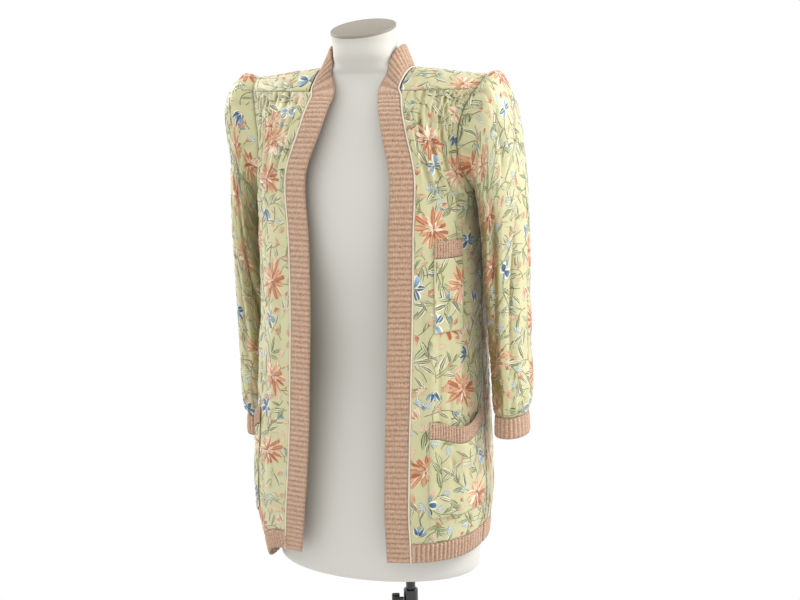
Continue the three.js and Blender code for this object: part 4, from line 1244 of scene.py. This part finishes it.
sleeve_cloths = {}
for side, word, seed in ((1, "left", 11), (-1, "right", 12)):
    grid = sleeve_grid(side, SLEEVE_GRID, SLEEVE_STEP)
    grid = grid + side * grid_normals(grid) * sleeve_gathers(grid, seed)[..., None]
    grid[:, -1] = grid[:, 0]
    cloth = make_cloth(grid, side < 0, sleeve_creases[side], (), SLEEVE_ORIGIN)
    cloth["grid"][:, -1] = cloth["grid"][:, 0]
    # Painted shade on the side of each sleeve that faces the body, below the arm.
    below_arm = 1 - ease(cloth["grid"][..., 2], 1230, 1320)
    toward_body = ease(-side * cloth["normal"][..., 0], -0.1, 0.5) * below_arm
    cloth["hollow"] = np.maximum(cloth["hollow"], SLEEVE_SHADE[side] * toward_body)
    sleeve_cloths[side] = cloth
    piece = add_cloth(f"sleeve_cloth_{word}", cloth, [f"sleeve_{word}"], closed=True)


# Cuffs: a tube of the same rib knit on the end of each sleeve.
CUFF_RIBS = 24
CUFF_RISE = 2.2
CUFF_HEIGHT = 36
CUFF_FLARE = 1.5
for side, word in ((1, "left"), (-1, "right")):
    last = SLEEVE[-1]
    angles = np.linspace(-math.pi, math.pi, CUFF_RIBS * RIB_POINTS, endpoint=False)
    rows = []
    for share in np.linspace(0, 1, 9):
        down = CURVED_GAP + (CUFF_HEIGHT - CURVED_GAP) * share
        grow = CUFF_FLARE * share
        row = (last[0] + grow, last[1] - down, last[2] - grow, last[3] - down, last[4] + grow)
        rows.append(sleeve_point(side, row, angles))
    grid = np.transpose(np.array(rows), (1, 0, 2))
    piece = add_ribs(f"rib_cuff_{word}", grid, side > 0, CUFF_RISE, [f"cuff_{word}"], closed=True)


# Pockets: patches of the embroidered silk with a rib-knit welt, two at the hips and one on the left
# breast. The hip pockets are slack, so their mouths sag open.
HIP_POCKET = (768, 902, 930, 13)
BREAST_POCKET = (1074, 1193, 1221, 0)
POCKET_THICK = 1.1
POCKET_STAND = 2.6
WELT_STAND = 2.8
WELT_RISE = 1.4
WELT_THICK = 1.4
SLACK_RIB = 5.4
FLAT_RIB = 4.6
POCKET_CREASES = [  # from s, t, to s, t, bend, width, depth
    (150, 128, 96, 60, 10, 6, -1.8),
    (140, 104, 84, 44, 8, 7, 1.8),
    (30, 120, 70, 70, -8, 6, -1.4),
    (50, 24, 120, 18, -4, 7, 1.2),
]


def mouth_shape(sag, mouth, u):
    """How far a pocket's mouth sinks, and how far it stands off the front, along its width."""
    slack = sag * np.sin(math.pi * u) ** 2
    free = 2.6 * np.sin(math.pi * u) + mouth * bell(u, 0.68, 0.24) * np.sin(math.pi * u)
    return slack, free


def pocket(side, columns, levels, names, mouth):
    """One patch and its welt; levels are the foot, the welt's seam and top, and the mouth's sag."""
    low, seam, top, sag = levels
    start, end = columns
    u = np.linspace(0, 1, 45)
    column = start + (end - start) * u
    slack, free = mouth_shape(sag, mouth, u)
    v = np.linspace(0, 1, 36)[:, None]
    z = low + (seam - slack[None, :] - low) * v
    stand = POCKET_STAND + free[None, :] * ease(v, 0.0, 1.0)
    grid = front_point(side, column[None, :], z, stand)
    cloth = make_cloth(grid, side < 0, POCKET_CREASES if mouth else [])
    patch = add_cloth(f"{names}_patch", cloth, [names], POCKET_THICK)
    ribs = int(round(cloth["s"][-1, -1] / (SLACK_RIB if mouth else FLAT_RIB)))
    even = np.linspace(0, 1, ribs * RIB_POINTS + 1)
    column = start + (end - start) * even
    slack, free = mouth_shape(sag, mouth, even)
    up = np.linspace(0, 1, 8)[None, :]
    z = seam + CURVED_GAP - slack[:, None] + (top - seam - CURVED_GAP) * up
    lean = 1 + 0.12 * up * (1 if mouth else 0)
    grid = front_point(side, column[:, None], z, WELT_STAND + free[:, None] * lean)
    word = names.replace("pocket", "pocket_rib")
    welt = add_ribs(f"{names}_welt", grid, side > 0, WELT_RISE, [word], WELT_THICK)
    return cloth


pocket_cloths = {
    "hip_pocket_left": pocket(1, (4, 21), HIP_POCKET, "hip_pocket_left", 6.0),
    "hip_pocket_right": pocket(-1, (10, 21), HIP_POCKET, "hip_pocket_right", 5.0),
    "breast_pocket": pocket(1, (5, 14), BREAST_POCKET, "breast_pocket", 0.0),
}


# Embroidery: silk thread worked in long and short stitches on every panel before it was sewn, cut off at
# the seams: many-petalled rust and peach flowers, small blue ones, slim leaves and winding stems.
def motif_template(name, half_width, height, bend=0.0, notch=0.0):
    """One petal or leaf from (0, 0) to (0, 1), half a unit wide, rising to 1 over its middle."""
    v = np.array([0.0, 0.2, 0.45, 0.7, 0.9, 1.0])
    u = np.array([-1.0, -0.42, 0.42, 1.0]) if notch else np.array([-1.0, 0.0, 1.0])
    wide = np.array(half_width)[:, None]
    x = u[None, :] * wide + bend * (v[:, None] ** 2)
    y = v[:, None] - notch * (1 - np.abs(u[None, :])) * (v[:, None] > 0.95)
    z = (1 - np.abs(u[None, :]) ** 3) * np.array(height)[:, None]
    template = add_mesh(name, np.stack([x, y, z], -1).reshape(-1, 3), grid_faces(6, len(u)))
    along = template.data.attributes.new("along", "FLOAT", "POINT")
    along.data.foreach_set("value", np.repeat(v, len(u)))
    thread = template.data.attributes.new("thread", "FLOAT_VECTOR", "POINT")
    pairs = np.stack([np.tile(u, 6), np.repeat(v, len(u)), np.zeros(6 * len(u))], -1)
    thread.data.foreach_set("vector", pairs.ravel())
    bpy.context.scene.collection.objects.unlink(template)
    return template


templates = bpy.data.collections.new("motif_templates")
for template in (
    motif_template("motif_0_broad", (0.12, 0.28, 0.44, 0.5, 0.42, 0.24), (0.3, 0.8, 1, 1, 0.8, 0.2), 0, 0.09),
    motif_template("motif_1_pointed", (0.14, 0.36, 0.5, 0.4, 0.18, 0.02), (0.3, 0.8, 1, 0.9, 0.6, 0.1)),
    motif_template("motif_2_leaf", (0.03, 0.34, 0.5, 0.4, 0.17, 0.01), (0.1, 0.7, 1, 0.8, 0.5, 0.1), 0.12),
    motif_template("motif_3_curl", (0.04, 0.3, 0.5, 0.44, 0.22, 0.02), (0.1, 0.7, 1, 0.9, 0.6, 0.1), 0.6),
    motif_template("motif_4_knot", (0.12, 0.4, 0.5, 0.46, 0.25, 0.08), (0.2, 0.9, 1, 1, 0.7, 0.1)),
):
    templates.objects.link(template)
BROAD, POINTED, LEAF, CURL, KNOT = range(5)


def motif_nodes():
    """Geometry nodes that set a motif at every point, turned, sized and coloured by its attributes."""
    group = bpy.data.node_groups.new("set_motifs", "GeometryNodeTree")
    for name, kind, way in (
        ("Points", "NodeSocketGeometry", "INPUT"),
        ("Motifs", "NodeSocketCollection", "INPUT"),
        ("Thread", "NodeSocketMaterial", "INPUT"),
        ("Mesh", "NodeSocketGeometry", "OUTPUT"),
    ):
        group.interface.new_socket(name, in_out=way, socket_type=kind)
    given = group.nodes.new("NodeGroupInput")
    result = group.nodes.new("NodeGroupOutput")
    parts = group.nodes.new("GeometryNodeCollectionInfo")
    parts.inputs["Separate Children"].default_value = True
    parts.inputs["Reset Children"].default_value = True
    group.links.new(given.outputs["Motifs"], parts.inputs["Collection"])
    fields = {}
    for name, kind in (("kind", "INT"), ("turn", "FLOAT_VECTOR"), ("size", "FLOAT_VECTOR")):
        fields[name] = group.nodes.new("GeometryNodeInputNamedAttribute")
        fields[name].data_type = kind
        fields[name].inputs["Name"].default_value = name
    place = group.nodes.new("GeometryNodeInstanceOnPoints")
    place.inputs["Pick Instance"].default_value = True
    group.links.new(given.outputs["Points"], place.inputs["Points"])
    group.links.new(parts.outputs["Instances"], place.inputs["Instance"])
    group.links.new(fields["kind"].outputs["Attribute"], place.inputs["Instance Index"])
    group.links.new(fields["turn"].outputs["Attribute"], place.inputs["Rotation"])
    group.links.new(fields["size"].outputs["Attribute"], place.inputs["Scale"])
    real = group.nodes.new("GeometryNodeRealizeInstances")
    paint = group.nodes.new("GeometryNodeSetMaterial")
    group.links.new(place.outputs["Instances"], real.inputs["Geometry"])
    group.links.new(real.outputs["Geometry"], paint.inputs["Geometry"])
    group.links.new(given.outputs["Thread"], paint.inputs["Material"])
    group.links.new(paint.outputs["Geometry"], result.inputs["Mesh"])
    return group


def thread_material():
    """Lustrous silk thread: each motif shades from its near colour to its far one in fine stitches, inside
    an outline of its rim colour, whose alpha gives the strength of a vein down the middle."""
    material = new_material("silk_thread", linear(200, 150, 110), 0.32)
    tree = material.node_tree
    shader = tree.nodes["Principled BSDF"]
    near = read_attribute(tree, "near", "Color")
    far = read_attribute(tree, "far", "Color")
    thread = read_attribute(tree, "thread", "Vector")
    split = add_node(tree, "ShaderNodeSeparateXYZ", {"Vector": thread})
    place = add_node(tree, "ShaderNodeTexCoord").outputs["Object"]
    fray = add_noise(tree, place, 900.0, 1.0)
    uneven = add_math(tree, "MULTIPLY_ADD", fray, 0.9, -0.45)
    share = add_math(tree, "ADD", read_attribute(tree, "along"), uneven, clamp=True)
    blend = mix_colors(tree, share, near, far)
    out = add_math(tree, "ABSOLUTE", split.outputs["X"])
    rim = add_node(tree, "ShaderNodeAttribute", attribute_name="rim")
    outline = add_math(tree, "MULTIPLY_ADD", out, 7.0, -3.6, clamp=True)
    middle = add_math(tree, "MULTIPLY_ADD", out, -14.0, 2.0, clamp=True)
    vein = add_math(tree, "MULTIPLY", middle, rim.outputs["Alpha"])
    line = add_math(tree, "MAXIMUM", outline, vein)
    drawn = mix_colors(tree, line, blend, rim.outputs["Color"])
    # Painted shade: the thread darkens towards olive brown where the cloth beneath it has painted shade.
    sunk = add_math(tree, "MULTIPLY", read_attribute(tree, "hollow"), 0.55)
    shaded = mix_colors(tree, sunk, drawn, (*linear(110, 90, 44), 1))
    tree.links.new(shaded, shader.inputs["Base Color"])
    rows = add_math(tree, "MULTIPLY", split.outputs["X"], 24.0)
    strands = bump(tree, add_math(tree, "SINE", rows), 0.5, 0.0004)
    tree.links.new(bump(tree, fray, 0.3, 0.0005, strands), shader.inputs["Normal"])
    shader.inputs["Sheen Weight"].default_value = 0.3
    shader.inputs["Sheen Roughness"].default_value = 0.35
    return material


silk_thread = thread_material()
set_motifs = motif_nodes()

RUST = linear(182, 108, 68)
RUST_DARK = linear(156, 84, 50)
ORANGE = linear(212, 150, 108)
PEACH = linear(230, 184, 144)
BLUSH = linear(242, 214, 180)
CREAM = linear(246, 240, 216)
NAVY = linear(38, 62, 88)
MID_BLUE = linear(80, 124, 158)
SKY = linear(172, 202, 214)
OLIVE = linear(92, 96, 52)
SAGE = linear(136, 144, 98)
PALE_LEAF = linear(206, 210, 166)
STEM = linear(108, 108, 62)


def lay_on(cloth, flat):
    """Points given by lengths across and up a piece and a height over it, as points on its surface, and
    the painted shade of the cloth at each."""
    rows = np.interp(flat[:, 1], cloth["t"], np.arange(len(cloth["t"])))
    low = np.clip(rows.astype(int), 0, len(cloth["t"]) - 2)
    result = np.zeros((len(flat), 3))
    sunk = np.zeros(len(flat))
    for row in np.unique(low):
        pick = low == row
        for near_row, weight in ((row, 1 - (rows[pick] - row)), (row + 1, rows[pick] - row)):
            line = cloth["s"][near_row]
            column = np.interp(flat[pick, 0], line, np.arange(len(line)))
            i = np.clip(column.astype(int), 0, len(line) - 2)
            f = (column - i)[:, None]
            point = (1 - f) * cloth["grid"][near_row, i] + f * cloth["grid"][near_row, i + 1]
            normal = (1 - f) * cloth["normal"][near_row, i] + f * cloth["normal"][near_row, i + 1]
            depth = cloth["hollow"][near_row]
            hollow = (1 - f[:, 0]) * depth[i] + f[:, 0] * depth[i + 1]
            result[pick] += weight[:, None] * (point + normal * flat[pick, 2:])
            sunk[pick] += weight * hollow
    return result, sunk


class Pattern:
    """The flat layout of one piece's embroidery: motifs, stems and the room that they take."""

    def __init__(self, cloth, seed):
        self.rng = random.Random(seed)
        self.cloth = cloth
        self.long = cloth["t"][-1]
        self.motifs = []
        self.stems = []
        self.taken = []

    def edges(self, t):
        """The two ends of the row at a length up the piece."""
        first = float(np.interp(t, self.cloth["t"], self.cloth["s"][:, 0]))
        return first, float(np.interp(t, self.cloth["t"], self.cloth["s"][:, -1]))

    def motif(self, kind, s, t, turn, length, width, colors, layer=0, rise=0.9):
        """Colours are the near one, the far one and the rim, and may end with the vein's strength."""
        near, far, rim = colors[:3]
        vein = colors[3] if len(colors) > 3 else 0.0
        self.motifs.append((kind, s, t, layer * 0.3, turn, width, length, rise, near, far, (*rim, vein)))

    def leaf(self, s, t, turn, length):
        rng = self.rng
        colors = rng.choice(
            (
                (SAGE, PALE_LEAF, OLIVE, 0.8),
                (PALE_LEAF, CREAM, OLIVE, 0.9),
                (PALE_LEAF, PALE_LEAF, STEM, 0.8),
                (OLIVE, SAGE, PALE_LEAF, 0.9),
                (OLIVE, SAGE, CREAM, 0.6),
                (STEM, SAGE, CREAM, 0.9),
                (SAGE, CREAM, OLIVE, 0.7),
            )
        )
        kind = LEAF if rng.random() < 0.6 else CURL
        wide = length * rng.uniform(0.26, 0.4)
        if kind == CURL and rng.random() < 0.5:
            wide = -wide
        self.motif(kind, s, t, turn, length, wide, colors, 0, 1.2)

    def rust_flower(self, s, t, radius, turn):
        """A ragged many-petalled flower: whole, or a fan of solid petals with outlined ones behind."""
        rng = self.rng
        full = rng.random() < 0.5
        solid = (
            (RUST, ORANGE, BLUSH, 0.5),
            (RUST_DARK, RUST, PEACH),
            (RUST, RUST, PEACH, 0.6),
            (RUST, PEACH, RUST),
        )
        soft = (
            (PEACH, BLUSH, RUST, 0.5),
            (ORANGE, PEACH, CREAM),
            (PEACH, CREAM, ORANGE, 0.6),
            (BLUSH, CREAM, RUST),
        )
        for k in range(13):
            angle = turn + (k + 0.5) / 13 * 2 * math.pi + rng.uniform(-0.12, 0.12)
            facing = math.cos(angle - turn) > -0.1
            colors = rng.choice(solid if full or facing else soft)
            long = 0.74 + 0.4 * abs(math.cos(angle - turn))
            length = radius * long * rng.uniform(0.88, 1.14) * (1 if full or facing else 0.85)
            kind = POINTED if rng.random() < 0.6 else BROAD
            self.motif(kind, s, t, angle, length, radius * rng.uniform(0.3, 0.42), colors, 0, 1.4)
        for k in range(9):
            angle = turn + (k + 0.3) / 9 * 2 * math.pi + rng.uniform(-0.16, 0.16)
            colors = rng.choice((*soft, *solid[:2]))
            length = radius * rng.uniform(0.44, 0.66)
            self.motif(POINTED, s, t, angle, length, radius * rng.uniform(0.2, 0.28), colors, 2, 1.3)
        for k in range(6):
            angle = turn + rng.uniform(-math.pi, math.pi)
            colors = rng.choice(((CREAM, PEACH, RUST_DARK), (RUST_DARK, RUST, PEACH)))
            self.motif(KNOT, s, t, angle, radius * rng.uniform(0.2, 0.32), radius * 0.13, colors, 4, 0.9)

    def small_flower(self, s, t, radius, turn, petals):
        """A tulip, a butterfly or a small round flower, each petal with a pale outline."""
        rng = self.rng
        form = rng.choice(("round", "tulip", "butterfly"))
        if form == "round":
            angles = [k / 5 * 2 * math.pi for k in range(5)]
        elif form == "tulip":
            angles = [-0.62, -0.22, 0.22, 0.62]
        else:
            angles = [-1.9, -0.95, 0.95, 1.9]
        for k, angle in enumerate(angles):
            length = radius * rng.uniform(0.95, 1.2) * (1.2 if form == "tulip" else 1)
            kind = POINTED if form == "tulip" or rng.random() < 0.4 else BROAD
            wide = radius * (0.6 if form == "tulip" else 0.86)
            self.motif(kind, s, t, turn + angle, length, wide, petals[k % len(petals)], k % 2, 0.9)
        for k in range(3):
            angle = turn + rng.uniform(-0.9, 0.9)
            self.motif(KNOT, s, t, angle, radius * 0.42, radius * 0.14, (CREAM, CREAM, PEACH), 2, 0.7)

    def flower(self, kind, s, t):
        """A flower of one of the three kinds, with three stems that leave it on its far side."""
        rng = self.rng
        turn = rng.uniform(-math.pi, math.pi)
        if kind == "rust":
            radius = rng.uniform(27, 36)
            self.rust_flower(s, t, radius, turn)
        elif kind == "blue":
            radius = rng.uniform(15, 20)
            petals = rng.choice(
                (
                    ((NAVY, MID_BLUE, CREAM, 0.7), (MID_BLUE, SKY, CREAM)),
                    ((MID_BLUE, NAVY, CREAM), (NAVY, NAVY, SKY, 0.6)),
                    ((MID_BLUE, SKY, NAVY, 0.5), (NAVY, MID_BLUE, CREAM)),
                )
            )
            self.small_flower(s, t, radius, turn, petals)
        else:
            radius = rng.uniform(13, 18)
            self.small_flower(s, t, radius, turn, ((ORANGE, BLUSH, CREAM, 0.5), (RUST, PEACH, CREAM)))
        self.taken.append((s, t, radius * 0.85))
        for k in range(3):
            heading = turn + math.pi + (k - 1) * rng.uniform(1.0, 1.5)
            self.stem(s, t, heading, radius * 0.8, rng.uniform(38, 66))

    def free(self, s, t, room):
        return all((s - a) ** 2 + (t - b) ** 2 > (r + room) ** 2 for a, b, r in self.taken)

    def stem(self, s, t, heading, start, length):
        rng = self.rng
        curl = rng.choice((-1, 1)) * rng.uniform(0.010, 0.024)
        path = [(s + start * -math.sin(heading), t + start * math.cos(heading))]
        walked = 0.0
        next_leaf = rng.uniform(7, 12)
        hand = rng.choice((-1, 1))
        leaves = []
        while walked < length:
            heading += curl * 4 + 0.05 * math.sin(walked / 9)
            x, y = path[-1]
            x, y = x - 4 * math.sin(heading), y + 4 * math.cos(heading)
            if not self.free(x, y, 1.5):
                break
            path.append((x, y))
            walked += 4
            if walked > next_leaf:
                leaves.append((x, y, heading + hand * rng.uniform(0.55, 1.0)))
                hand = -hand
                next_leaf = walked + rng.uniform(7, 12)
        if len(path) > 2:
            color = rng.choice((STEM, STEM, OLIVE, SAGE, PALE_LEAF))
            self.stems.append((path, color, rng.uniform(1.1, 1.5)))
            x, y = path[-1]
            if rng.random() < 0.4:
                colors = rng.choice(((ORANGE, BLUSH, RUST), (RUST, PEACH, CREAM), (MID_BLUE, SKY, NAVY)))
                for tilt in (-0.45, 0, 0.45):
                    self.motif(POINTED, x, y, heading + tilt, rng.uniform(8, 12), 4.0, colors, 0, 0.8)
            else:
                leaves.append((x, y, heading))
        for x, y, way in leaves:
            size = rng.uniform(17, 34)
            tip_x, tip_y = x - 0.6 * size * math.sin(way), y + 0.6 * size * math.cos(way)
            if self.free(tip_x, tip_y, 2.0):
                self.leaf(x, y, way, size)
                self.taken.append((tip_x, tip_y, size * 0.17))

    def fill(self, spacing=13):
        """Sprigs in the gaps that are left: a short stem with leaves, or a small spray of petals."""
        rng = self.rng
        rows = int(self.long / spacing) + 1
        for j in range(rows):
            t = (j + 0.5) * spacing
            first, last = self.edges(min(t, self.long))
            for i in range(int((last - first) / spacing) + 1):
                s = first + (i + 0.5 * (j % 2)) * spacing + rng.uniform(-6, 6)
                y = t + rng.uniform(-6, 6)
                if not self.free(s, y, 5.0):
                    continue
                heading = rng.uniform(-math.pi, math.pi)
                if rng.random() < 0.34:
                    colors = rng.choice(
                        (
                            (ORANGE, BLUSH, RUST),
                            (PEACH, CREAM, ORANGE),
                            (SKY, CREAM, MID_BLUE),
                            (RUST, PEACH, CREAM),
                        )
                    )
                    size = rng.uniform(9, 14)
                    for k in range(5):
                        angle = heading + (k - 2) * 0.48
                        length = size * rng.uniform(0.85, 1.1)
                        self.motif(POINTED, s, y, angle, length, size * 0.4, colors, 0, 1.0)
                    self.taken.append((s, y, size * 0.55))
                else:
                    self.stem(s, y, heading, 0, rng.uniform(14, 30))

    def spread_flowers(self, row_gap=50, gap=92, room=20):
        """Rust and blue flowers in turn, in staggered uneven rows, clear of those already placed."""
        rng = self.rng
        for j in range(int(self.long / row_gap) + 1):
            t = row_gap * (j + 0.4) + rng.uniform(-9, 9)
            if t > self.long - 4:
                continue
            first, last = self.edges(t)
            start = math.floor(first / gap)
            for i in range(start, start + int((last - first) / gap) + 3):
                s = gap * (i + (0.5 if j % 2 else 0.05)) + rng.uniform(-10, 10)
                if not first - 4 < s < last + 4 or not self.free(s, t, room):
                    continue
                kind = "rust" if (i + j) % 2 else rng.choice(("blue", "blue", "blue", "peach"))
                self.flower(kind, s, t)


THREAD_ATTRIBUTES = (
    ("near", "FLOAT_COLOR", "color"),
    ("far", "FLOAT_COLOR", "color"),
    ("rim", "FLOAT_COLOR", "color"),
    ("along", "FLOAT", "value"),
    ("thread", "FLOAT_VECTOR", "vector"),
)


def embroider(name, pattern):
    """Turns a flat layout into one raised mesh on its piece of cloth, cut off at the piece's edges."""
    motifs = pattern.motifs
    cloud = bpy.data.meshes.new(f"{name}_points")
    cloud.vertices.add(len(motifs))
    cloud.vertices.foreach_set("co", np.array([(m[1], m[2], m[3]) for m in motifs]).ravel())
    columns = (
        ("kind", "INT", "value", [m[0] for m in motifs]),
        ("turn", "FLOAT_VECTOR", "vector", [(0, 0, m[4]) for m in motifs]),
        ("size", "FLOAT_VECTOR", "vector", [(m[5], m[6], m[7]) for m in motifs]),
        ("near", "FLOAT_COLOR", "color", [(*m[8], 1) for m in motifs]),
        ("far", "FLOAT_COLOR", "color", [(*m[9], 1) for m in motifs]),
        ("rim", "FLOAT_COLOR", "color", [m[10] for m in motifs]),
    )
    for attribute, kind, field, values in columns:
        layer = cloud.attributes.new(attribute, kind, "POINT")
        layer.data.foreach_set(field, np.array(values).ravel())
    holder = bpy.data.objects.new(f"{name}_points", cloud)
    bpy.context.scene.collection.objects.link(holder)
    modifier = holder.modifiers.new("motifs", "NODES")
    modifier.node_group = set_motifs
    inputs = [item for item in set_motifs.interface.items_tree if item.in_out == "INPUT"]
    sockets = {item.name: item.identifier for item in inputs}
    modifier[sockets["Motifs"]] = templates
    modifier[sockets["Thread"]] = silk_thread
    holder.update_tag()
    graph = bpy.context.evaluated_depsgraph_get()
    flat = bpy.data.meshes.new_from_object(holder.evaluated_get(graph))
    count = len(flat.vertices)
    points = np.zeros(count * 3)
    flat.vertices.foreach_get("co", points)
    points = points.reshape(-1, 3)
    read = {}
    for attribute, kind, field in THREAD_ATTRIBUTES:
        size = {"color": 4, "value": 1, "vector": 3}[field]
        values = np.zeros(count * size)
        flat.attributes[attribute].data.foreach_get(field, values)
        read[attribute] = values.reshape(count, size)
    faces = np.zeros(len(flat.polygons) * 4, int)
    flat.polygons.foreach_get("vertices", faces)
    faces = faces.reshape(-1, 4)
    bpy.data.objects.remove(holder)
    bpy.data.meshes.remove(flat)
    lists = {key: [value] for key, value in read.items()}
    all_points, all_faces = [points], [faces]
    total = count
    for path, color, width in pattern.stems:
        path = np.array(path)
        way = np.gradient(path, axis=0)
        way /= np.maximum(np.linalg.norm(way, axis=1, keepdims=True), 1e-6)
        beside = np.stack([way[:, 1], -way[:, 0]], -1)
        taper = width / 2 * (0.55 + 0.45 * np.sin(np.linspace(0.25, 1, len(path)) * math.pi))
        rows = []
        for across, high in ((-1, 0.0), (0, 0.8), (1, 0.0)):
            flat_point = path + beside * taper[:, None] * across
            rows.append(np.concatenate([flat_point, np.full((len(path), 1), high)], 1))
        strip = np.stack(rows, 1).reshape(-1, 3)
        all_points.append(strip)
        all_faces.append(grid_faces(len(path), 3) + total)
        total += len(strip)
        lists["near"].append(np.tile((*color, 1), (len(strip), 1)))
        lists["far"].append(np.tile((*color, 1), (len(strip), 1)))
        lists["rim"].append(np.tile((*color, 0), (len(strip), 1)))
        lists["along"].append(np.full((len(strip), 1), 0.5))
        lists["thread"].append(np.tile([(-1, 0, 0), (0, 0, 0), (1, 0, 0)], (len(path), 1)))
    cut = np.concatenate(all_points)
    faces = np.concatenate(all_faces)
    first = np.interp(cut[:, 1], pattern.cloth["t"], pattern.cloth["s"][:, 0])
    last = np.interp(cut[:, 1], pattern.cloth["t"], pattern.cloth["s"][:, -1])
    cut[:, 0] = np.clip(cut[:, 0], first + 0.6, last - 0.6)
    cut[:, 1] = np.clip(cut[:, 1], 0.6, pattern.long - 0.6)
    corners = cut[faces]
    one, two = corners[:, 2] - corners[:, 0], corners[:, 3] - corners[:, 1]
    area = np.abs(one[:, 0] * two[:, 1] - one[:, 1] * two[:, 0])
    faces = faces[area > 0.05]
    cut[:, 2] = cut[:, 2] - 0.12
    laid, sunk = lay_on(pattern.cloth, cut)
    piece = add_mesh(name, worn(laid), faces[:, ::-1] if pattern.cloth["flip"] else faces)
    # Each motif carries the painted shade of the cloth under it.
    shade = piece.data.attributes.new("hollow", "FLOAT", "POINT")
    shade.data.foreach_set("value", sunk)
    for attribute, kind, field in THREAD_ATTRIBUTES:
        layer = piece.data.attributes.new(attribute, kind, "POINT")
        layer.data.foreach_set(field, np.concatenate(lists[attribute]).ravel())
    return finish_piece(piece, silk_thread, "torso", [])


FRONT_FLOWERS = {  # kind, length from the band's seam, height
    1: [
        ("rust", 52, 1093),
        ("rust", 92, 976),
        ("rust", 80, 1327),
        ("peach", 94, 1418),
        ("blue", 37, 981),
        ("blue", 107, 1032),
        ("blue", 124, 1112),
        ("blue", 67, 1150),
        ("blue", 102, 1215),
        ("blue", 36, 1340),
        ("blue", 92, 1384),
        ("rust", 30, 1240),
        ("rust", 26, 850),
    ],
    -1: [
        ("blue", 30, 1425),
        ("rust", 62, 1400),
        ("rust", 44, 1378),
        ("rust", 40, 1318),
        ("blue", 52, 1268),
        ("rust", 40, 1150),
        ("blue", 46, 1085),
        ("rust", 36, 990),
        ("blue", 60, 930),
        ("rust", 48, 850),
    ],
}


def height_to_length(cloth, z):
    middle = cloth["grid"][:, cloth["grid"].shape[1] // 2, 2]
    return float(np.interp(z, middle, cloth["t"]))


for side, word, seed in ((1, "left", 21), (-1, "right", 22)):
    pattern = Pattern(front_cloths[side], seed)
    for kind, s, z in FRONT_FLOWERS[side]:
        pattern.flower(kind, s, height_to_length(front_cloths[side], z))
    pattern.spread_flowers()
    pattern.fill()
    embroider(f"embroidery_front_{word}", pattern)
for name, cloth, seed in (
    ("back", back_cloth, 31),
    ("yoke_left", yoke_cloths[1], 32),
    ("yoke_right", yoke_cloths[-1], 33),
    ("back_neck", back_neck_cloth, 34),
    ("sleeve_left", sleeve_cloths[1], 35),
    ("sleeve_right", sleeve_cloths[-1], 36),
    ("hip_pocket_left", pocket_cloths["hip_pocket_left"], 37),
    ("hip_pocket_right", pocket_cloths["hip_pocket_right"], 38),
    ("breast_pocket", pocket_cloths["breast_pocket"], 39),
):
    pattern = Pattern(cloth, seed)
    pattern.spread_flowers()
    pattern.fill()
    embroider(f"embroidery_{name}", pattern)
for template in list(templates.objects):
    bpy.data.objects.remove(template)
bpy.data.collections.remove(templates)


# Floor, lights and camera: a small pale floor, soft light from both sides and the photograph's view.
floor_points, floor_faces = lathe([(0, -6), (1300, -6), (1300, -0.2), (0, -0.2)], 96)
floor = add_mesh("floor", floor_points, floor_faces)
floor.data.materials.append(new_material("pale_floor", (0.68, 0.68, 0.67), 0.6))

world = bpy.data.worlds.new("white_room")
bpy.context.scene.world = world
world.use_nodes = True
world.node_tree.nodes["Background"].inputs["Color"].default_value = (1, 1, 1, 1)
world.node_tree.nodes["Background"].inputs["Strength"].default_value = 1.0

for name, place, aim, size, power in (
    ("light_left", (-2.1, 0.5, 2.4), (0, 0, 1.35), 1.3, 42),
    ("light_right", (2.1, 0.7, 2.4), (0, 0, 1.35), 1.3, 54),
    ("light_front", (0.5, -2.3, 2.7), (0, 0, 1.4), 1.2, 6),
):
    lamp = bpy.data.lights.new(name, "AREA")
    lamp.size = size
    lamp.energy = power
    holder = bpy.data.objects.new(name, lamp)
    holder.location = place
    holder.rotation_euler = (Vector(aim) - Vector(place)).to_track_quat("-Z", "Y").to_euler()
    bpy.context.scene.collection.objects.link(holder)

CAMERA_HEIGHT = 1.54
CAMERA_DISTANCE = 2.355
CAMERA_ASIDE = 0.0409
bpy.context.scene.view_settings.view_transform = "Standard"
turn = math.radians(22.5)
pitch = math.radians(10.6)
roll = math.radians(1.5)
ahead = Vector((-math.sin(turn), math.cos(turn), 0))
right = Vector((math.cos(turn), math.sin(turn), 0))
look = ahead * math.cos(pitch) - Vector((0, 0, math.sin(pitch)))
up = right.cross(look)
place = Vector((*JACKET_PLACE[:2] * MM, CAMERA_HEIGHT))
place += right * CAMERA_ASIDE - ahead * CAMERA_DISTANCE
rolled_right = right * math.cos(roll) - up * math.sin(roll)
rolled_up = up * math.cos(roll) + right * math.sin(roll)
camera = bpy.data.objects.new("camera", bpy.data.cameras.new("camera"))
camera.data.sensor_width = 36
camera.data.lens = 63.45
axes = [(*pair, 0) for pair in zip(rolled_right, rolled_up, -look)]
camera.matrix_world = Matrix([*axes, (0, 0, 0, 1)])
camera.location = place
bpy.context.scene.collection.objects.link(camera)
bpy.context.scene.camera = camera

bpy.context.view_layer.update()
